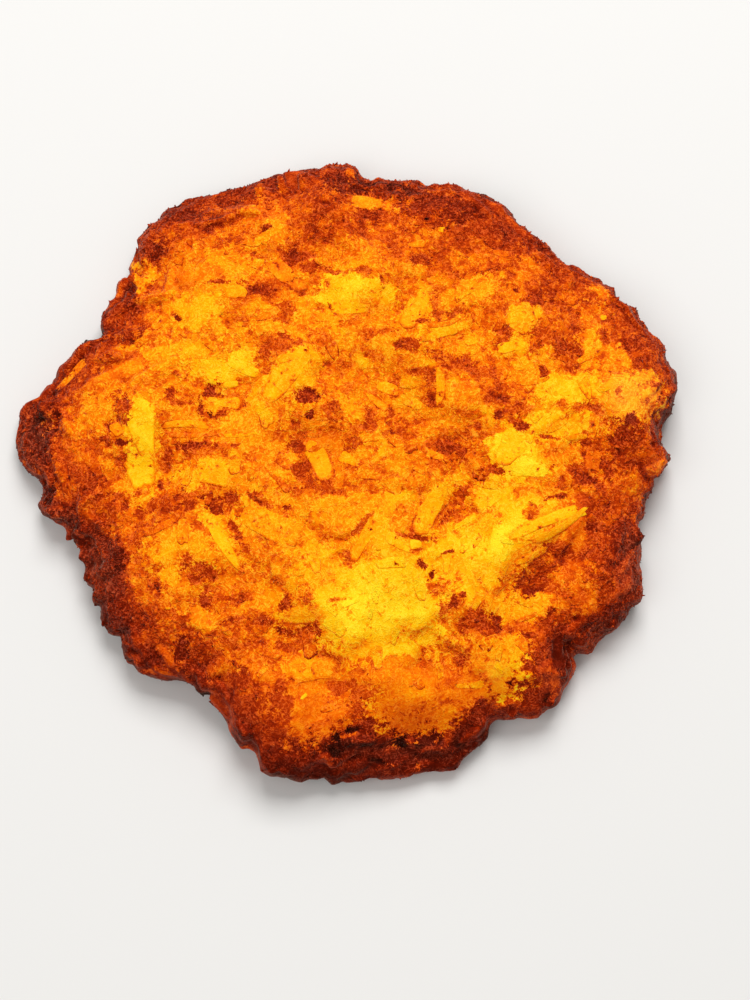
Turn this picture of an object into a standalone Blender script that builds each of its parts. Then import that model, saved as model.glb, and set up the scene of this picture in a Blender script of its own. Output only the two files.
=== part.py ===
"""Potato rosti: one flat cake of coarsely grated potato, fried brown on both faces.

The cake is a single closed solid. It lies on z = 0 with the middle of its base at the origin,
+X along its widest span and +Z up. Sizes below are in millimetres, and the mesh is in metres.
"""
import math

import bpy
import numpy as np

MM = 0.001
NAME = "rosti"

# Overall size of the cake
WIDTH = 100.0
DEPTH = 96.0
THICKNESS = 13.0

# Rim seen from above: direction in degrees, anticlockwise from +X, and reach from the middle.
# Every entry is a lobe or a notch of the hand-pressed edge.
RIM = (
    (1, 48.2), (10, 50.2), (17, 52.0), (27, 49.6), (37, 48.2), (45, 45.5), (50, 46.5), (55, 45.8),
    (61, 47.5), (70, 46.3), (82, 45.2), (88, 46.2), (91, 48.3), (98, 47.0), (110, 47.0), (118, 47.3),
    (126, 49.2), (131, 48.9), (135, 46.0), (142, 45.8), (150, 44.3), (157, 45.4), (165, 47.2),
    (171, 50.4), (176, 50.6), (182, 48.2), (188, 46.4), (192, 45.3), (195, 42.6), (205, 43.2),
    (211, 42.0), (217, 43.3), (226, 43.0), (235, 39.2), (243, 41.4), (250, 45.5), (256, 47.2),
    (268, 47.6), (282, 46.5), (290, 48.0), (295, 46.9), (300, 44.0), (306, 46.2), (312, 47.7),
    (320, 44.4), (326, 46.0), (333, 48.0), (341, 46.8), (350, 44.5), (356, 46.0),
)

# Height of the top face in the middle and at the rim, and how the rim height changes round the cake
MIDDLE_HEIGHT = 11.4
RIM_HEIGHT = 8.6
RIM_HEIGHT_WAVES = ((1, 0.9, -20.0), (2, 0.7, 75.0), (3, 0.5, 10.0), (5, 0.4, 40.0))
CROWN_POWER = 3.0

# Edge of the top face: how far it sits inside the rim, and how much its corner is rounded down
EDGE_INSET = 2.2
EDGE_ROUND = 1.5
EDGE_ROUND_FROM = 0.86

# Ledge on the -Y side, where the lower half of the cake sticks out from under the top crust
LEDGE_DIRECTION = 281.0
LEDGE_HALF_ANGLE = 15.0
LEDGE_FADE = 5.0
LEDGE_INSET = 3.6

# Side wall from the top edge down to the base: place along the wall, share of the way out from the
# top edge to the rim, and share of the top edge's height
WALL_PLAIN = ((0.0, 0.0, 1.0), (0.25, 0.62, 0.82), (0.55, 1.0, 0.5), (0.8, 0.85, 0.2), (1.0, 0.35, 0.0))
WALL_LEDGE = ((0.0, 0.0, 1.0), (0.25, 0.05, 0.66), (0.55, 0.78, 0.5), (0.8, 1.0, 0.22), (1.0, 0.75, 0.0))

# Base: the cake is shaped a little too deep and cut off flat at z = 0, and its edge stays lifted
BASE_DEPTH = 0.8
BASE_LIFT = 0.7
BASE_FLAT_TO = 0.80
CUTTER_SIZE = 160.0

# Raised flakes and strands: x, y, length, width, turn in degrees, height
RAISED = (
    (2.0, 28.0, 14.0, 7.0, 5, 0.9), (-9.0, 13.5, 12.0, 4.5, 40, 0.7), (-30.0, 4.0, 13.0, 5.0, 95, 0.7),
    (-22.0, 25.0, 13.0, 5.0, 85, 0.6), (27.0, 24.0, 6.0, 5.5, 0, 0.8), (31.0, 8.0, 13.0, 8.0, 20, 0.9),
    (4.0, -21.0, 20.0, 14.0, 20, 1.0), (25.0, -12.0, 20.0, 5.0, 38, 0.8), (31.0, -11.0, 14.0, 2.6, 34, 0.9),
    (-1.0, -7.5, 13.0, 8.0, -20, 0.7), (23.5, -32.0, 7.0, 6.5, 0, 0.7), (-4.5, -38.0, 9.0, 8.0, 10, 0.8),
    (-22.0, -14.0, 12.0, 4.0, -60, 0.5), (-31.0, -12.0, 10.0, 7.0, 30, 0.6), (42.0, 12.0, 10.0, 7.0, 15, 0.5),
    (13.0, -3.0, 9.0, 3.5, 60, 0.7), (14.0, 23.0, 9.0, 3.5, 30, 0.6), (-26.0, 6.5, 14.0, 2.8, 4, 0.5),
)

# Hollows between the strands, where the crust is darkest: the same values, the last one a depth
HOLLOWS = (
    (-5.0, 11.5, 4.5, 3.5, -10, 1.6), (31.0, -16.0, 12.0, 4.0, 43, 1.0), (-8.0, -26.0, 9.0, 5.0, 5, 0.8),
    (33.0, -27.0, 3.5, 5.0, 0, 2.2), (-22.5, 11.0, 6.0, 3.0, 35, 0.9), (-35.0, 6.0, 5.0, 4.0, 60, 0.9),
    (20.0, -24.0, 6.0, 5.0, 20, 0.9), (-16.5, -9.5, 7.0, 2.5, -65, 0.7), (15.0, -6.0, 8.0, 2.6, 42, 0.7),
    (-14.5, 29.0, 5.0, 3.5, 0, 0.7), (15.0, 16.0, 8.0, 3.5, 0, 0.6), (-27.0, -3.5, 9.0, 3.5, 15, 0.7),
    (-13.0, -36.0, 6.0, 6.0, 40, 0.8), (37.0, -1.0, 8.0, 6.0, 80, 0.7),
)

# Seeded unevenness of the whole surface
SEED = 41
WAVES = 26
WAVE_SHORTEST = 4.5
WAVE_LONGEST = 17.0
TOP_WAVE_HEIGHT = 0.55
WALL_WAVE_REACH = 0.5

# Mesh: the sphere it starts from, the shares of it that the top face and the wall take, and the
# grid that evens out the facets
SPHERE_SUBDIVISIONS = 6
TOP_SHARE = 0.46
WALL_SHARE = 0.3
FACET = 1.8

CRUST_COLOUR = (0.60, 0.16, 0.012, 1.0)
CRUST_ROUGHNESS = 0.5


def clear_scene():
    """Remove every object that the file starts with."""
    for item in list(bpy.data.objects):
        bpy.data.objects.remove(item, do_unlink=True)


def smoothstep(low, high, value):
    """Ease from 0 at low to 1 at high."""
    share = np.clip((value - low) / (high - low), 0.0, 1.0)
    return share * share * (3.0 - 2.0 * share)


def rim_reach(direction):
    """Reach of the rim in each direction (radians), on a smooth closed curve through RIM."""
    angles = np.radians([angle for angle, _ in RIM])
    reaches = np.array([reach for _, reach in RIM])
    full_turn = 2.0 * math.pi
    angles = np.concatenate([angles - full_turn, angles, angles + full_turn])
    reaches = np.tile(reaches, 3)
    slopes = np.gradient(reaches, angles)
    direction = np.mod(direction, full_turn)
    start = np.searchsorted(angles, direction, side="right") - 1
    span = angles[start + 1] - angles[start]
    share = (direction - angles[start]) / span
    ease = share * share * (3.0 - 2.0 * share)
    rise_out = share * (1.0 - share) ** 2 * span * slopes[start]
    rise_in = share * share * (1.0 - share) * span * slopes[start + 1]
    return reaches[start] * (1.0 - ease) + reaches[start + 1] * ease + rise_out - rise_in


def rim_height(direction):
    """Height of the top edge in each direction."""
    height = np.full_like(direction, RIM_HEIGHT)
    for turns, swing, phase in RIM_HEIGHT_WAVES:
        height += swing * np.cos(turns * direction - math.radians(phase))
    return height


def ledge_share(direction):
    """1 where the lower half sticks out as a ledge, 0 elsewhere."""
    away = np.degrees(direction) % 360.0 - LEDGE_DIRECTION
    away = np.abs((away + 180.0) % 360.0 - 180.0)
    return 1.0 - smoothstep(LEDGE_HALF_ANGLE - LEDGE_FADE, LEDGE_HALF_ANGLE + LEDGE_FADE, away)


def patch_relief(x, y, patches):
    """Sum of soft-edged oval patches at each point."""
    relief = np.zeros_like(x)
    for centre_x, centre_y, length, width, turn, height in patches:
        cos_turn = math.cos(math.radians(turn))
        sin_turn = math.sin(math.radians(turn))
        along = ((x - centre_x) * cos_turn + (y - centre_y) * sin_turn) / (0.5 * length)
        across = ((y - centre_y) * cos_turn - (x - centre_x) * sin_turn) / (0.5 * width)
        relief += height * (1.0 - smoothstep(0.55, 1.3, np.hypot(along, across)))
    return relief


def uneven(points, seed):
    """Seeded waves of many directions and lengths at each point, mostly between -1 and 1."""
    random = np.random.default_rng(seed)
    total = np.zeros(len(points))
    for _ in range(WAVES):
        heading = random.normal(size=3)
        heading /= np.linalg.norm(heading)
        length = random.uniform(WAVE_SHORTEST, WAVE_LONGEST)
        phase = random.uniform(0.0, 2.0 * math.pi)
        total += np.cos(points @ heading * 2.0 * math.pi / length + phase) * length / WAVE_LONGEST
    return total / math.sqrt(WAVES) * 2.0


def top_points(direction, share):
    """Points of the top face; share is 0 in the middle and 1 at its edge."""
    radius = (rim_reach(direction) - edge_inset(direction)) * share
    x = radius * np.cos(direction)
    y = radius * np.sin(direction)
    crown = 1.0 - share ** CROWN_POWER
    edge = rim_height(direction)
    z = edge + (MIDDLE_HEIGHT - edge) * crown
    fade = 1.0 - smoothstep(EDGE_ROUND_FROM, 1.0, share)
    points = np.stack([x, y, z], axis=1)
    relief = patch_relief(x, y, RAISED) - patch_relief(x, y, HOLLOWS)
    z = z + relief + TOP_WAVE_HEIGHT * uneven(points, SEED)
    points[:, 2] = z - EDGE_ROUND * (1.0 - fade) ** 2
    return points


def edge_inset(direction):
    """How far the top face's edge sits inside the rim."""
    return EDGE_INSET + LEDGE_INSET * ledge_share(direction)


def wall_points(direction, share):
    """Points of the side wall; share is 0 at the top edge and 1 at the base."""
    ledge = ledge_share(direction)
    stations = [station for station, _, _ in WALL_PLAIN]
    plain_out = np.interp(share, stations, [out for _, out, _ in WALL_PLAIN])
    plain_up = np.interp(share, stations, [up for _, _, up in WALL_PLAIN])
    ledge_out = np.interp(share, stations, [out for _, out, _ in WALL_LEDGE])
    ledge_up = np.interp(share, stations, [up for _, _, up in WALL_LEDGE])
    out = plain_out + (ledge_out - plain_out) * ledge
    up = plain_up + (ledge_up - plain_up) * ledge
    top_edge = top_points(direction, np.ones_like(direction))[:, 2]
    inset = edge_inset(direction)
    radius = rim_reach(direction) - inset + inset * out
    x = radius * np.cos(direction)
    y = radius * np.sin(direction)
    z = BASE_LIFT + (top_edge - BASE_LIFT) * up
    points = np.stack([x, y, z], axis=1)
    push = WALL_WAVE_REACH * uneven(points, SEED + 1) * np.sin(math.pi * share)
    points[:, 0] += push * np.cos(direction)
    points[:, 1] += push * np.sin(direction)
    return points


def base_points(direction, share):
    """Points of the base; share is 0 in the middle and 1 at its edge."""
    inset = edge_inset(direction)
    ledge = ledge_share(direction)
    out = WALL_PLAIN[-1][1] + (WALL_LEDGE[-1][1] - WALL_PLAIN[-1][1]) * ledge
    radius = (rim_reach(direction) - inset + inset * out) * share
    x = radius * np.cos(direction)
    y = radius * np.sin(direction)
    z = BASE_LIFT - (BASE_LIFT + BASE_DEPTH) * (1.0 - smoothstep(BASE_FLAT_TO, 1.0, share))
    return np.stack([x, y, z], axis=1)


def cake_points(sphere):
    """Move the points of a unit sphere onto the cake: top face, wall and base in turn."""
    direction = np.arctan2(sphere[:, 1], sphere[:, 0])
    area = (1.0 - sphere[:, 2]) / 2.0
    wall_end = TOP_SHARE + WALL_SHARE
    points = np.zeros_like(sphere)
    top = area <= TOP_SHARE
    base = area >= wall_end
    wall = ~(top | base)
    points[top] = top_points(direction[top], np.sqrt(area[top] / TOP_SHARE))
    points[wall] = wall_points(direction[wall], (area[wall] - TOP_SHARE) / WALL_SHARE)
    base_share = np.sqrt(np.clip(1.0 - area[base], 0.0, 1.0) / (1.0 - wall_end))
    points[base] = base_points(direction[base], base_share)
    return points


def fit_to_size(points):
    """Scale to the overall size, centred on the origin, with the base's excess below z = 0."""
    low = points.min(axis=0)
    high = points.max(axis=0)
    centre = (low + high) / 2.0
    centre[2] = 0.0
    scale = np.array([WIDTH, DEPTH, THICKNESS]) / np.array([high[0] - low[0], high[1] - low[1], high[2]])
    return (points - centre) * scale


def crust_material():
    """Golden-brown fried crust."""
    material = bpy.data.materials.new("crust")
    material.use_nodes = True
    shader = material.node_tree.nodes["Principled BSDF"]
    shader.inputs["Base Color"].default_value = CRUST_COLOUR
    shader.inputs["Roughness"].default_value = CRUST_ROUGHNESS
    shader.inputs["Metallic"].default_value = 0.0
    return material


def move_to(thing, collection):
    """Keep the object in this collection only."""
    for old in list(thing.users_collection):
        old.objects.unlink(thing)
    collection.objects.link(thing)


def reshape(mesh, rule):
    """Pass the mesh's points through a rule that works in millimetres."""
    points = np.empty(3 * len(mesh.vertices))
    mesh.vertices.foreach_get("co", points)
    moved = rule(points.reshape(-1, 3) / MM) * MM
    mesh.vertices.foreach_set("co", moved.ravel())
    mesh.update()


def even_facets(thing):
    """Give the object's mesh facets of one size all over."""
    remesh = thing.modifiers.new("even_facets", "REMESH")
    remesh.mode = "VOXEL"
    remesh.voxel_size = FACET * MM
    evaluated = thing.evaluated_get(bpy.context.evaluated_depsgraph_get())
    even = bpy.data.meshes.new_from_object(evaluated)
    thing.modifiers.clear()
    rough = thing.data
    thing.data = even
    bpy.data.meshes.remove(rough)
    even.name = NAME


def floor_cutter(collection):
    """Box that fills the space below z = 0."""
    bpy.ops.mesh.primitive_cube_add(size=CUTTER_SIZE * MM, location=(0.0, 0.0, -0.5 * CUTTER_SIZE * MM))
    cutter = bpy.context.object
    cutter.name = "floor_cutter"
    cutter.hide_render = True
    cutter.display_type = "WIRE"
    move_to(cutter, collection)
    return cutter


def make_cake(collection, cutter):
    """The whole cake, shaped from an icosphere and cut off flat at its base."""
    bpy.ops.mesh.primitive_ico_sphere_add(subdivisions=SPHERE_SUBDIVISIONS, radius=MM)
    cake = bpy.context.object
    cake.name = NAME
    reshape(cake.data, cake_points)
    even_facets(cake)
    reshape(cake.data, fit_to_size)
    cake.data.shade_smooth()
    cake.data.materials.append(crust_material())
    cut = cake.modifiers.new("flat_base", "BOOLEAN")
    cut.operation = "DIFFERENCE"
    cut.object = cutter
    move_to(cake, collection)


def main():
    clear_scene()
    cake_collection = bpy.data.collections.new("potato_rosti")
    cutter_collection = bpy.data.collections.new("cutters")
    bpy.context.scene.collection.children.link(cake_collection)
    bpy.context.scene.collection.children.link(cutter_collection)
    make_cake(cake_collection, floor_cutter(cutter_collection))


main()
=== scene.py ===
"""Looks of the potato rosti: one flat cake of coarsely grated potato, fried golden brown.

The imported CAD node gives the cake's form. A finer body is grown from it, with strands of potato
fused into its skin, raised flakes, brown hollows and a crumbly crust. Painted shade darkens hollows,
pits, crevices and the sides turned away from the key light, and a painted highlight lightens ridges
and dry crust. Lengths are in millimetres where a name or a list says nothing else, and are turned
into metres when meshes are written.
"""
import math
from typing import NamedTuple

import bmesh
import bpy
import numpy as np
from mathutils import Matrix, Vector, noise
from mathutils.bvhtree import BVHTree
from mathutils.kdtree import KDTree


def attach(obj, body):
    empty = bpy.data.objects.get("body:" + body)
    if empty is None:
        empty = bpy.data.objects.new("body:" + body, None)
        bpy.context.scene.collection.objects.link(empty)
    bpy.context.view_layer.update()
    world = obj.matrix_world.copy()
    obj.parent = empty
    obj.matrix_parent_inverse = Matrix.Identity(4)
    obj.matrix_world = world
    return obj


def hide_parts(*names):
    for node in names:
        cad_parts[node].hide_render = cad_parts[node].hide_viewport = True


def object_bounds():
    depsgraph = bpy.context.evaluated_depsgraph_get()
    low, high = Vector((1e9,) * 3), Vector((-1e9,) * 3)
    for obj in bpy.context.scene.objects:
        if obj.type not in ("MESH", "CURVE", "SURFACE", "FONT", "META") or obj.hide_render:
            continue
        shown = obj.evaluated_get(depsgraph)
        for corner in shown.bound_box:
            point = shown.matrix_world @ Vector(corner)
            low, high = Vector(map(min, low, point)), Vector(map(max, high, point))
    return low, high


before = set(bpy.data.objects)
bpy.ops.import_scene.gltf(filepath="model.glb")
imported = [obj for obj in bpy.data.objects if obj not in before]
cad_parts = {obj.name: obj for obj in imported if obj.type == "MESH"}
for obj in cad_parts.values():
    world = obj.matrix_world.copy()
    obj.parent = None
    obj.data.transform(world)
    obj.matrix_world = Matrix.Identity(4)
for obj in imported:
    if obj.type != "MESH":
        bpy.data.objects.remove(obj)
CAD_LOW, CAD_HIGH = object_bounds()

MM = 0.001
BODY = "root"
NODE = "rosti"

# Top of the CAD box, and how far below it the skin, the flakes and the places of crumbs stay
TOP = CAD_HIGH.z / MM
SKIN_BELOW_TOP = 0.2
FLAKE_BELOW_TOP = 0.05
CRUMB_BELOW_TOP = 0.25

# Camera: elevation above the horizon, distance and focal length, and the point it looks at,
# as shares of the cake's box
CAMERA_ELEVATION = 77.0
CAMERA_DISTANCE = 0.45
CAMERA_LENS = 108.3
AIM_SHARE = (0.5438, 0.4390, 0.4615)


# ---------------------------------------------------------------------------
# Marks and flakes: placed one by one, with tones corrected after comparing render and photo

class Mark(NamedTuple):
    """Oval mark on the skin, with its turn in degrees. Tone runs from 0, burnt, to 1, pale yellow."""
    x: float
    y: float
    length: float
    width: float
    tone: float = 0.0
    turn: float = 0.0
    soft: float = 0.6
    lift: float = 0.0


class Flake(NamedTuple):
    """Smooth flake of bare potato, with its turn in degrees and how far it stands proud."""
    x: float
    y: float
    length: float
    width: float
    turn: float
    tone: float
    grain: float
    proud: float


def marks(*rows):
    """Marks from rows in the order of their columns; a row ends where the rest has its usual value."""
    return [Mark(*row) for row in rows]


# Columns: x, y, length, width, tone, turn, softness of the edge, lift. Later marks lie over
# earlier ones. First come the soft brown fields between the light patches.
FIELDS = marks(
    (-4.5, 36, 8, 6, 0.52, 0, 0.7), (-2.5, 39.8, 7, 3.5, 0.47), (1.6, 35.8, 5, 6, 0.48),
    (-7.2, 31, 4, 5, 0.55), (12, 36.3, 12, 3, 0.5, -4), (8, 33, 6, 5, 0.56, 0, 0.7),
    (14.8, 31.5, 8, 5, 0.53, 20, 0.7), (18, 33.5, 6, 4.5, 0.48, 0, 0.7),
    (-12, 25.3, 7, 4, 0.57, -15, 0.7), (-9.2, 21.6, 6, 4.5, 0.57), (-13, 30.6, 6, 3, 0.58, -20),
    (-9.6, 16.4, 7.5, 3.4, 0.53, 5), (-3.8, 16.4, 5, 3, 0.6), (2.3, 20.2, 6, 2, 0.62, 5),
    (15.5, 21.8, 5, 2, 0.55, 5), (13, 23.6, 3, 3, 0.55), (8.7, 13.8, 4.5, 3, 0.59),
    (17, 28.8, 6, 3, 0.57), (15, 12.6, 4, 2.6, 0.52), (23.5, 29.4, 6, 3.6, 0.56),
    (21.8, 22.3, 4, 4.2, 0.57), (16.2, 13.8, 5, 2.8, 0.54, -5), (22.3, 8.8, 5, 4.5, 0.51),
    (20.6, 12.2, 6, 3.5, 0.6), (29.5, 24.5, 5.5, 4, 0.51, -10), (26.5, 31.2, 7, 4, 0.5, -30),
    (22.5, 35.6, 8, 5, 0.41, -30, 0.7), (32, 19.6, 6.5, 8, 0.52), (43, 18.5, 4.5, 6, 0.46),
    (44.6, 14, 5, 4, 0.45), (34.5, 16.6, 4, 4, 0.52), (35, 13.6, 6.5, 2.6, 0.55),
    (-19.5, 35.2, 7, 5, 0.59, 0, 0.7), (-27, 34, 5, 6.5, 0.54), (-25, 31, 2.4, 4, 0.6),
    (-17.5, 20.5, 3, 5, 0.66), (-36.5, 12.3, 6, 4, 0.58, 30), (-33.5, 16.5, 6, 3, 0.57),
    (-13.2, 13.4, 3.5, 3, 0.64), (-33, -0.8, 5, 5, 0.56), (-37, -7.5, 7, 5, 0.55),
    (-33.4, -6.6, 3, 3, 0.49), (-25.5, -7.2, 9, 3.4, 0.52, 5), (-28.5, -10.3, 13, 2.4, 0.58),
    (-21.5, -10.6, 7, 2.4, 0.6), (-24.5, 9.4, 6, 3, 0.66), (-26.3, -0.6, 2, 3.5, 0.55),
    (-18.4, 0.8, 5, 2.4, 0.57), (-24, 1.2, 7, 2.2, 0.55), (-38.5, 2.5, 4, 4.5, 0.56),
    (-36, 3, 3, 3, 0.53), (-41.5, -3, 3, 10, 0.5, 12), (-8, 3.3, 5, 4.4, 0.65),
    (1.5, 4.5, 11, 6.5, 0.66, 0, 0.7), (6.8, 4.6, 5, 5, 0.56), (7.3, 10.8, 4, 2.8, 0.61),
    (12.3, 10.8, 3.2, 6, 0.59, 5, 0.5), (15.5, 2.4, 6, 4, 0.6), (19, 4.2, 5, 3.6, 0.59),
    (3, -2.2, 10, 3, 0.63, 4), (-3.5, -5.2, 9, 2.2, 0.61, 10), (-6.8, -1.8, 3.4, 5.5, 0.56, 10),
    (-1.8, 6.3, 3, 4.4, 0.62), (-1.5, 13.2, 3, 2.4, 0.59), (-16.6, -7.6, 4, 5, 0.55),
    (-13, -16, 5.5, 3, 0.63), (7, -3, 5, 3.5, 0.65), (24, 6.8, 4, 6, 0.55), (37.6, 2.2, 3.2, 2.4, 0.62),
    (33.4, -3.8, 6, 3, 0.49), (36, 6.6, 5.5, 2.6, 0.6), (37, -1, 4, 4, 0.6), (37.8, -9, 4.5, 7, 0.48),
    (41, -6.5, 4, 6, 0.56), (43, -4, 3, 6, 0.62), (16, -8.2, 7, 2.4, 0.62, 54),
    (27.5, -8.3, 2.4, 3, 0.66), (21.5, -2.9, 5, 2, 0.59), (30.2, -17.2, 11, 3.4, 0.54, 43),
    (19.8, -25.2, 7, 6, 0.54), (15.8, -22, 4, 4, 0.55), (34, -18, 6, 6, 0.57, 0, 0.7),
    (14, -20.4, 4.2, 3.2, 0.6), (36, -21.5, 4, 4, 0.5), (26.8, -26.3, 6, 3, 0.57),
    (29, -31.5, 4, 5, 0.42), (23.5, -37, 6, 3.6, 0.44, 20), (5.5, -31.5, 18, 2.2, 0.62, 2),
    (14.5, -36.3, 9, 5, 0.6), (0.8, -34.8, 7, 2.8, 0.56), (2.4, -38.8, 4.4, 7.5, 0.5, 8, 0.7),
    (-6.8, -28.4, 9, 4, 0.6, 5), (-15, -25.2, 7, 2.6, 0.55, -5), (-14, -32, 11, 4.5, 0.58, 0, 0.7),
    (-18, -28.4, 4, 3, 0.59, 0, 0.7), (-12.5, -36.4, 7, 7, 0.54, 0, 0.7),
    (-24.5, -26.5, 9, 8, 0.57, 0, 0.7), (-21.5, -17.3, 6, 4, 0.55, 0, 0.5), (-19.6, -22, 4.4, 4, 0.52),
    (-9.3, -22, 3, 3.4, 0.61, 0, 0.5), (-14.3, -28.3, 4, 3, 0.57), (-30.5, -19, 3, 10, 0.6, 15),
    (16.8, -30.2, 2.6, 3.6, 0.55), (5.5, 18.4, 7, 1.4, 0.63, 0, 0.5),
)

# Light patches, in the same columns
GLOWS = marks(
    (4.5, -23.5, 19, 15, 0.88, 10, 0.55, 0.25), (-3.5, -17.5, 7, 6, 0.82, 20, 0.6, 0.1),
    (20.5, -14, 24, 9, 0.87, 33, 0.5, 0.15), (23, -13.2, 12, 5, 0.96, 38, 0.7, 0.1),
    (21.6, -18.2, 9, 5, 0.93, 40, 0.5), (27.4, -13.9, 10, 4.2, 0.91, 36, 0.5),
    (23.2, -17.6, 5.5, 3.2, 0.92, 40), (18.7, -9.6, 5.5, 3, 0.88, 42, 0.5),
    (-7.8, -13.6, 6, 3.2, 0.84, -25, 0.5), (-12.5, -19.4, 9, 2.2, 0.77, -24),
    (-0.4, -10.6, 5, 2.4, 0.8, 10), (-10.6, 6.8, 5.5, 3.8, 0.8, 40),
    (1, 6.4, 3.4, 2.4, 0.77, 20, 0.5, 0.1), (5.2, -28, 18, 5.4, 0.85, 0, 0.7),
    (4.8, -24, 16, 11, 0.97, 10, 0.7), (4.4, -26.2, 14, 3.4, 1, 3, 0.8),
    (-0.6, -28.2, 6.5, 3.8, 1, -10), (10.4, -26.8, 6.5, 3.6, 1), (20, -19.6, 7, 5, 0.86, 35, 0.5),
    (21.5, -6, 8, 4.6, 0.86, 15, 0.5, 0.1), (30.5, -9, 6, 2.6, 0.8, 20, 0.5, 0.1),
    (26.5, -5.4, 4.4, 2.6, 0.75), (30.6, 0.2, 8, 4.4, 0.72, 0, 0.6, 0.1),
    (25, 0, 7.5, 8, 0.9, -5, 0.4, 0.25), (25.4, -0.4, 7, 6, 0.99, 0, 0.7),
    (34, 10, 11.5, 5.2, 0.87, 5, 0.6, 0.15), (31.6, 4, 12, 4.2, 0.89, 3, 0.5, 0.1),
    (42.8, 8.4, 9.5, 8, 0.805, 20, 0.6, 0.2), (36.8, 17, 4.4, 7, 0.75),
    (40.5, 15, 3.6, 4, 0.72, 20, 0.5, 0.1), (0.4, 29.2, 10, 1.4, 0.74, 0, 0.4, 0.1),
    (1.4, 25, 11, 5.6, 0.87, -12, 0.3, 0.3), (1.6, 24.8, 9, 4.4, 0.94, -20, 0.7),
    (10.5, 21.9, 7, 3, 0.8, 50, 0.35, 0.25), (14.5, 19.4, 8, 2.6, 0.82, 18, 0.4, 0.2),
    (18.9, 17.8, 5, 3, 0.78, 20, 0.5, 0.1), (-9.6, 11, 14, 5.2, 0.84, 48, 0.35, 0.25),
    (-7, 11.8, 5, 3, 0.84, 20, 0.4, 0.1), (-30.4, 2.2, 14, 5.2, 0.89, 97, 0.4, 0.15),
    (-32.3, -4.6, 3.2, 3.2, 0.71, 0, 0.4, 0.1), (-34.3, 3.8, 2.4, 1.8, 0.67, -40, 0.4, 0.1),
    (-36.2, 7, 2.4, 2.6, 0.8, 0, 0.4, 0.1), (-22.3, 22.6, 6.5, 7.5, 0.82, 100, 0.6, 0.1),
    (-19.3, 13, 8, 4.4, 0.9, 0, 0.5, 0.1), (-19.8, -2.9, 9.4, 4.4, 0.83, 5, 0.5, 0.15),
    (-15.4, -4.4, 4.4, 3.2, 0.77), (-28.5, 15.5, 4.4, 4.4, 0.78), (-23, 16.2, 5, 3, 0.79),
    (-15.3, 14.6, 3.6, 3.4, 0.85, 60, 0.5), (26.5, 20.8, 5.4, 5.4, 0.81, 0, 0.25, 0.3),
    (24.9, 16.4, 5, 2.2, 0.82, 8, 0.35, 0.2), (19.5, 26, 10, 3.8, 0.76, 25, 0.6, 0.1),
    (26.6, 12.8, 3.6, 4.4, 0.74), (17, 9.2, 4.4, 4.4, 0.7, 0, 0.5, 0.1),
    (4.8, 40, 7, 2.2, 0.71, -6, 0.4, 0.2), (-10.9, 36.6, 4, 6, 0.72, 0, 0.5, 0.1),
    (-12.6, 38.9, 7, 4, 0.65, 12, 0.7), (-30.8, 28.8, 4, 5.2, 0.8, 0, 0.4, 0.15),
    (3.4, 22.6, 4, 2.8, 0.74), (-17.8, 30.3, 7, 3.4, 0.75, -15, 0.5, 0.1), (1.5, 32, 5, 3, 0.66),
    (-11.5, -10.6, 12, 5, 0.8, -20, 0.4, 0.25), (-0.2, -8.8, 10.5, 6, 0.77, 8, 0.3, 0.3),
    (4.6, -12.6, 7, 2.2, 0.81, 58, 0.4, 0.1), (13.2, -7.6, 9.5, 2.6, 0.84, 58, 0.25, 0.3),
    (12.2, -12, 4, 2.4, 0.83, -35, 0.35, 0.15), (7.6, -14.4, 7.5, 3, 0.83, -28, 0.35, 0.2),
    (-14.5, 3.5, 9, 7, 0.75, 0, 0.8), (-11, -1.2, 8, 6, 0.74, 0, 0.8),
    (-10.8, 18.9, 9, 2.2, 0.77, -4, 0.4, 0.15), (-3.6, 21, 6, 2.6, 0.73, -10, 0.5, 0.1),
    (-25, -14.2, 10, 5.6, 0.77, 5, 0.7, 0.1), (-19, -16, 12, 2.4, 0.78, -12),
    (-25.6, -17.6, 10, 3.6, 0.8, -60, 0.5, 0.1), (-24.6, -21.8, 4, 3.4, 0.72, 0, 0.7),
    (-17.9, -13.6, 11, 3, 0.84, -61, 0.35, 0.2), (-11.4, -21.6, 5.4, 4, 0.77, -20, 0.5, 0.1),
    (-7, -24.7, 8, 3, 0.77, 3, 0.4, 0.1), (-5.5, -32.4, 9, 3, 0.75, 4, 0.4, 0.15),
    (-4.4, -38.8, 9, 7.5, 0.63, 12, 0.9, 0.25), (-3.2, -37.4, 6, 3.6, 0.65, 20),
    (9.8, -38.2, 13, 10, 0.64, 5, 0.85), (9.6, -37.6, 10, 7, 0.85, 5, 0.8),
    (10.5, -33.6, 12, 3.6, 0.69, 0, 0.7), (22, -30, 10, 5.4, 0.77, 5, 0.6, 0.25),
    (23, -33.4, 8, 5.4, 0.96, 10, 0.6, 0.1), (25.6, -22.8, 12, 4.4, 0.8, 8, 0.4, 0.1),
    (18.5, -34.5, 5, 6, 0.66), (-37, 7.2, 7, 6, 0.7, 70, 0.7, 0.1), (33, -18.5, 6, 8, 0.6, 0, 0.8),
    (-21, -24.7, 4.6, 3.2, 0.7, -60, 0.5, 0.1), (-16, -20.5, 6, 4, 0.68, 0, 0.7),
    (39, 25.7, 4, 2.2, 0.66, -30, 0.5, 0.1), (27.5, 28.8, 4.4, 4.4, 0.6), (36.8, 22.6, 4, 3, 0.66),
    (-28, -32, 8, 2.6, 0.48, -15, 0.5), (31.2, -34, 2.6, 5, 0.5, 0, 0.5, 0.1),
)
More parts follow.
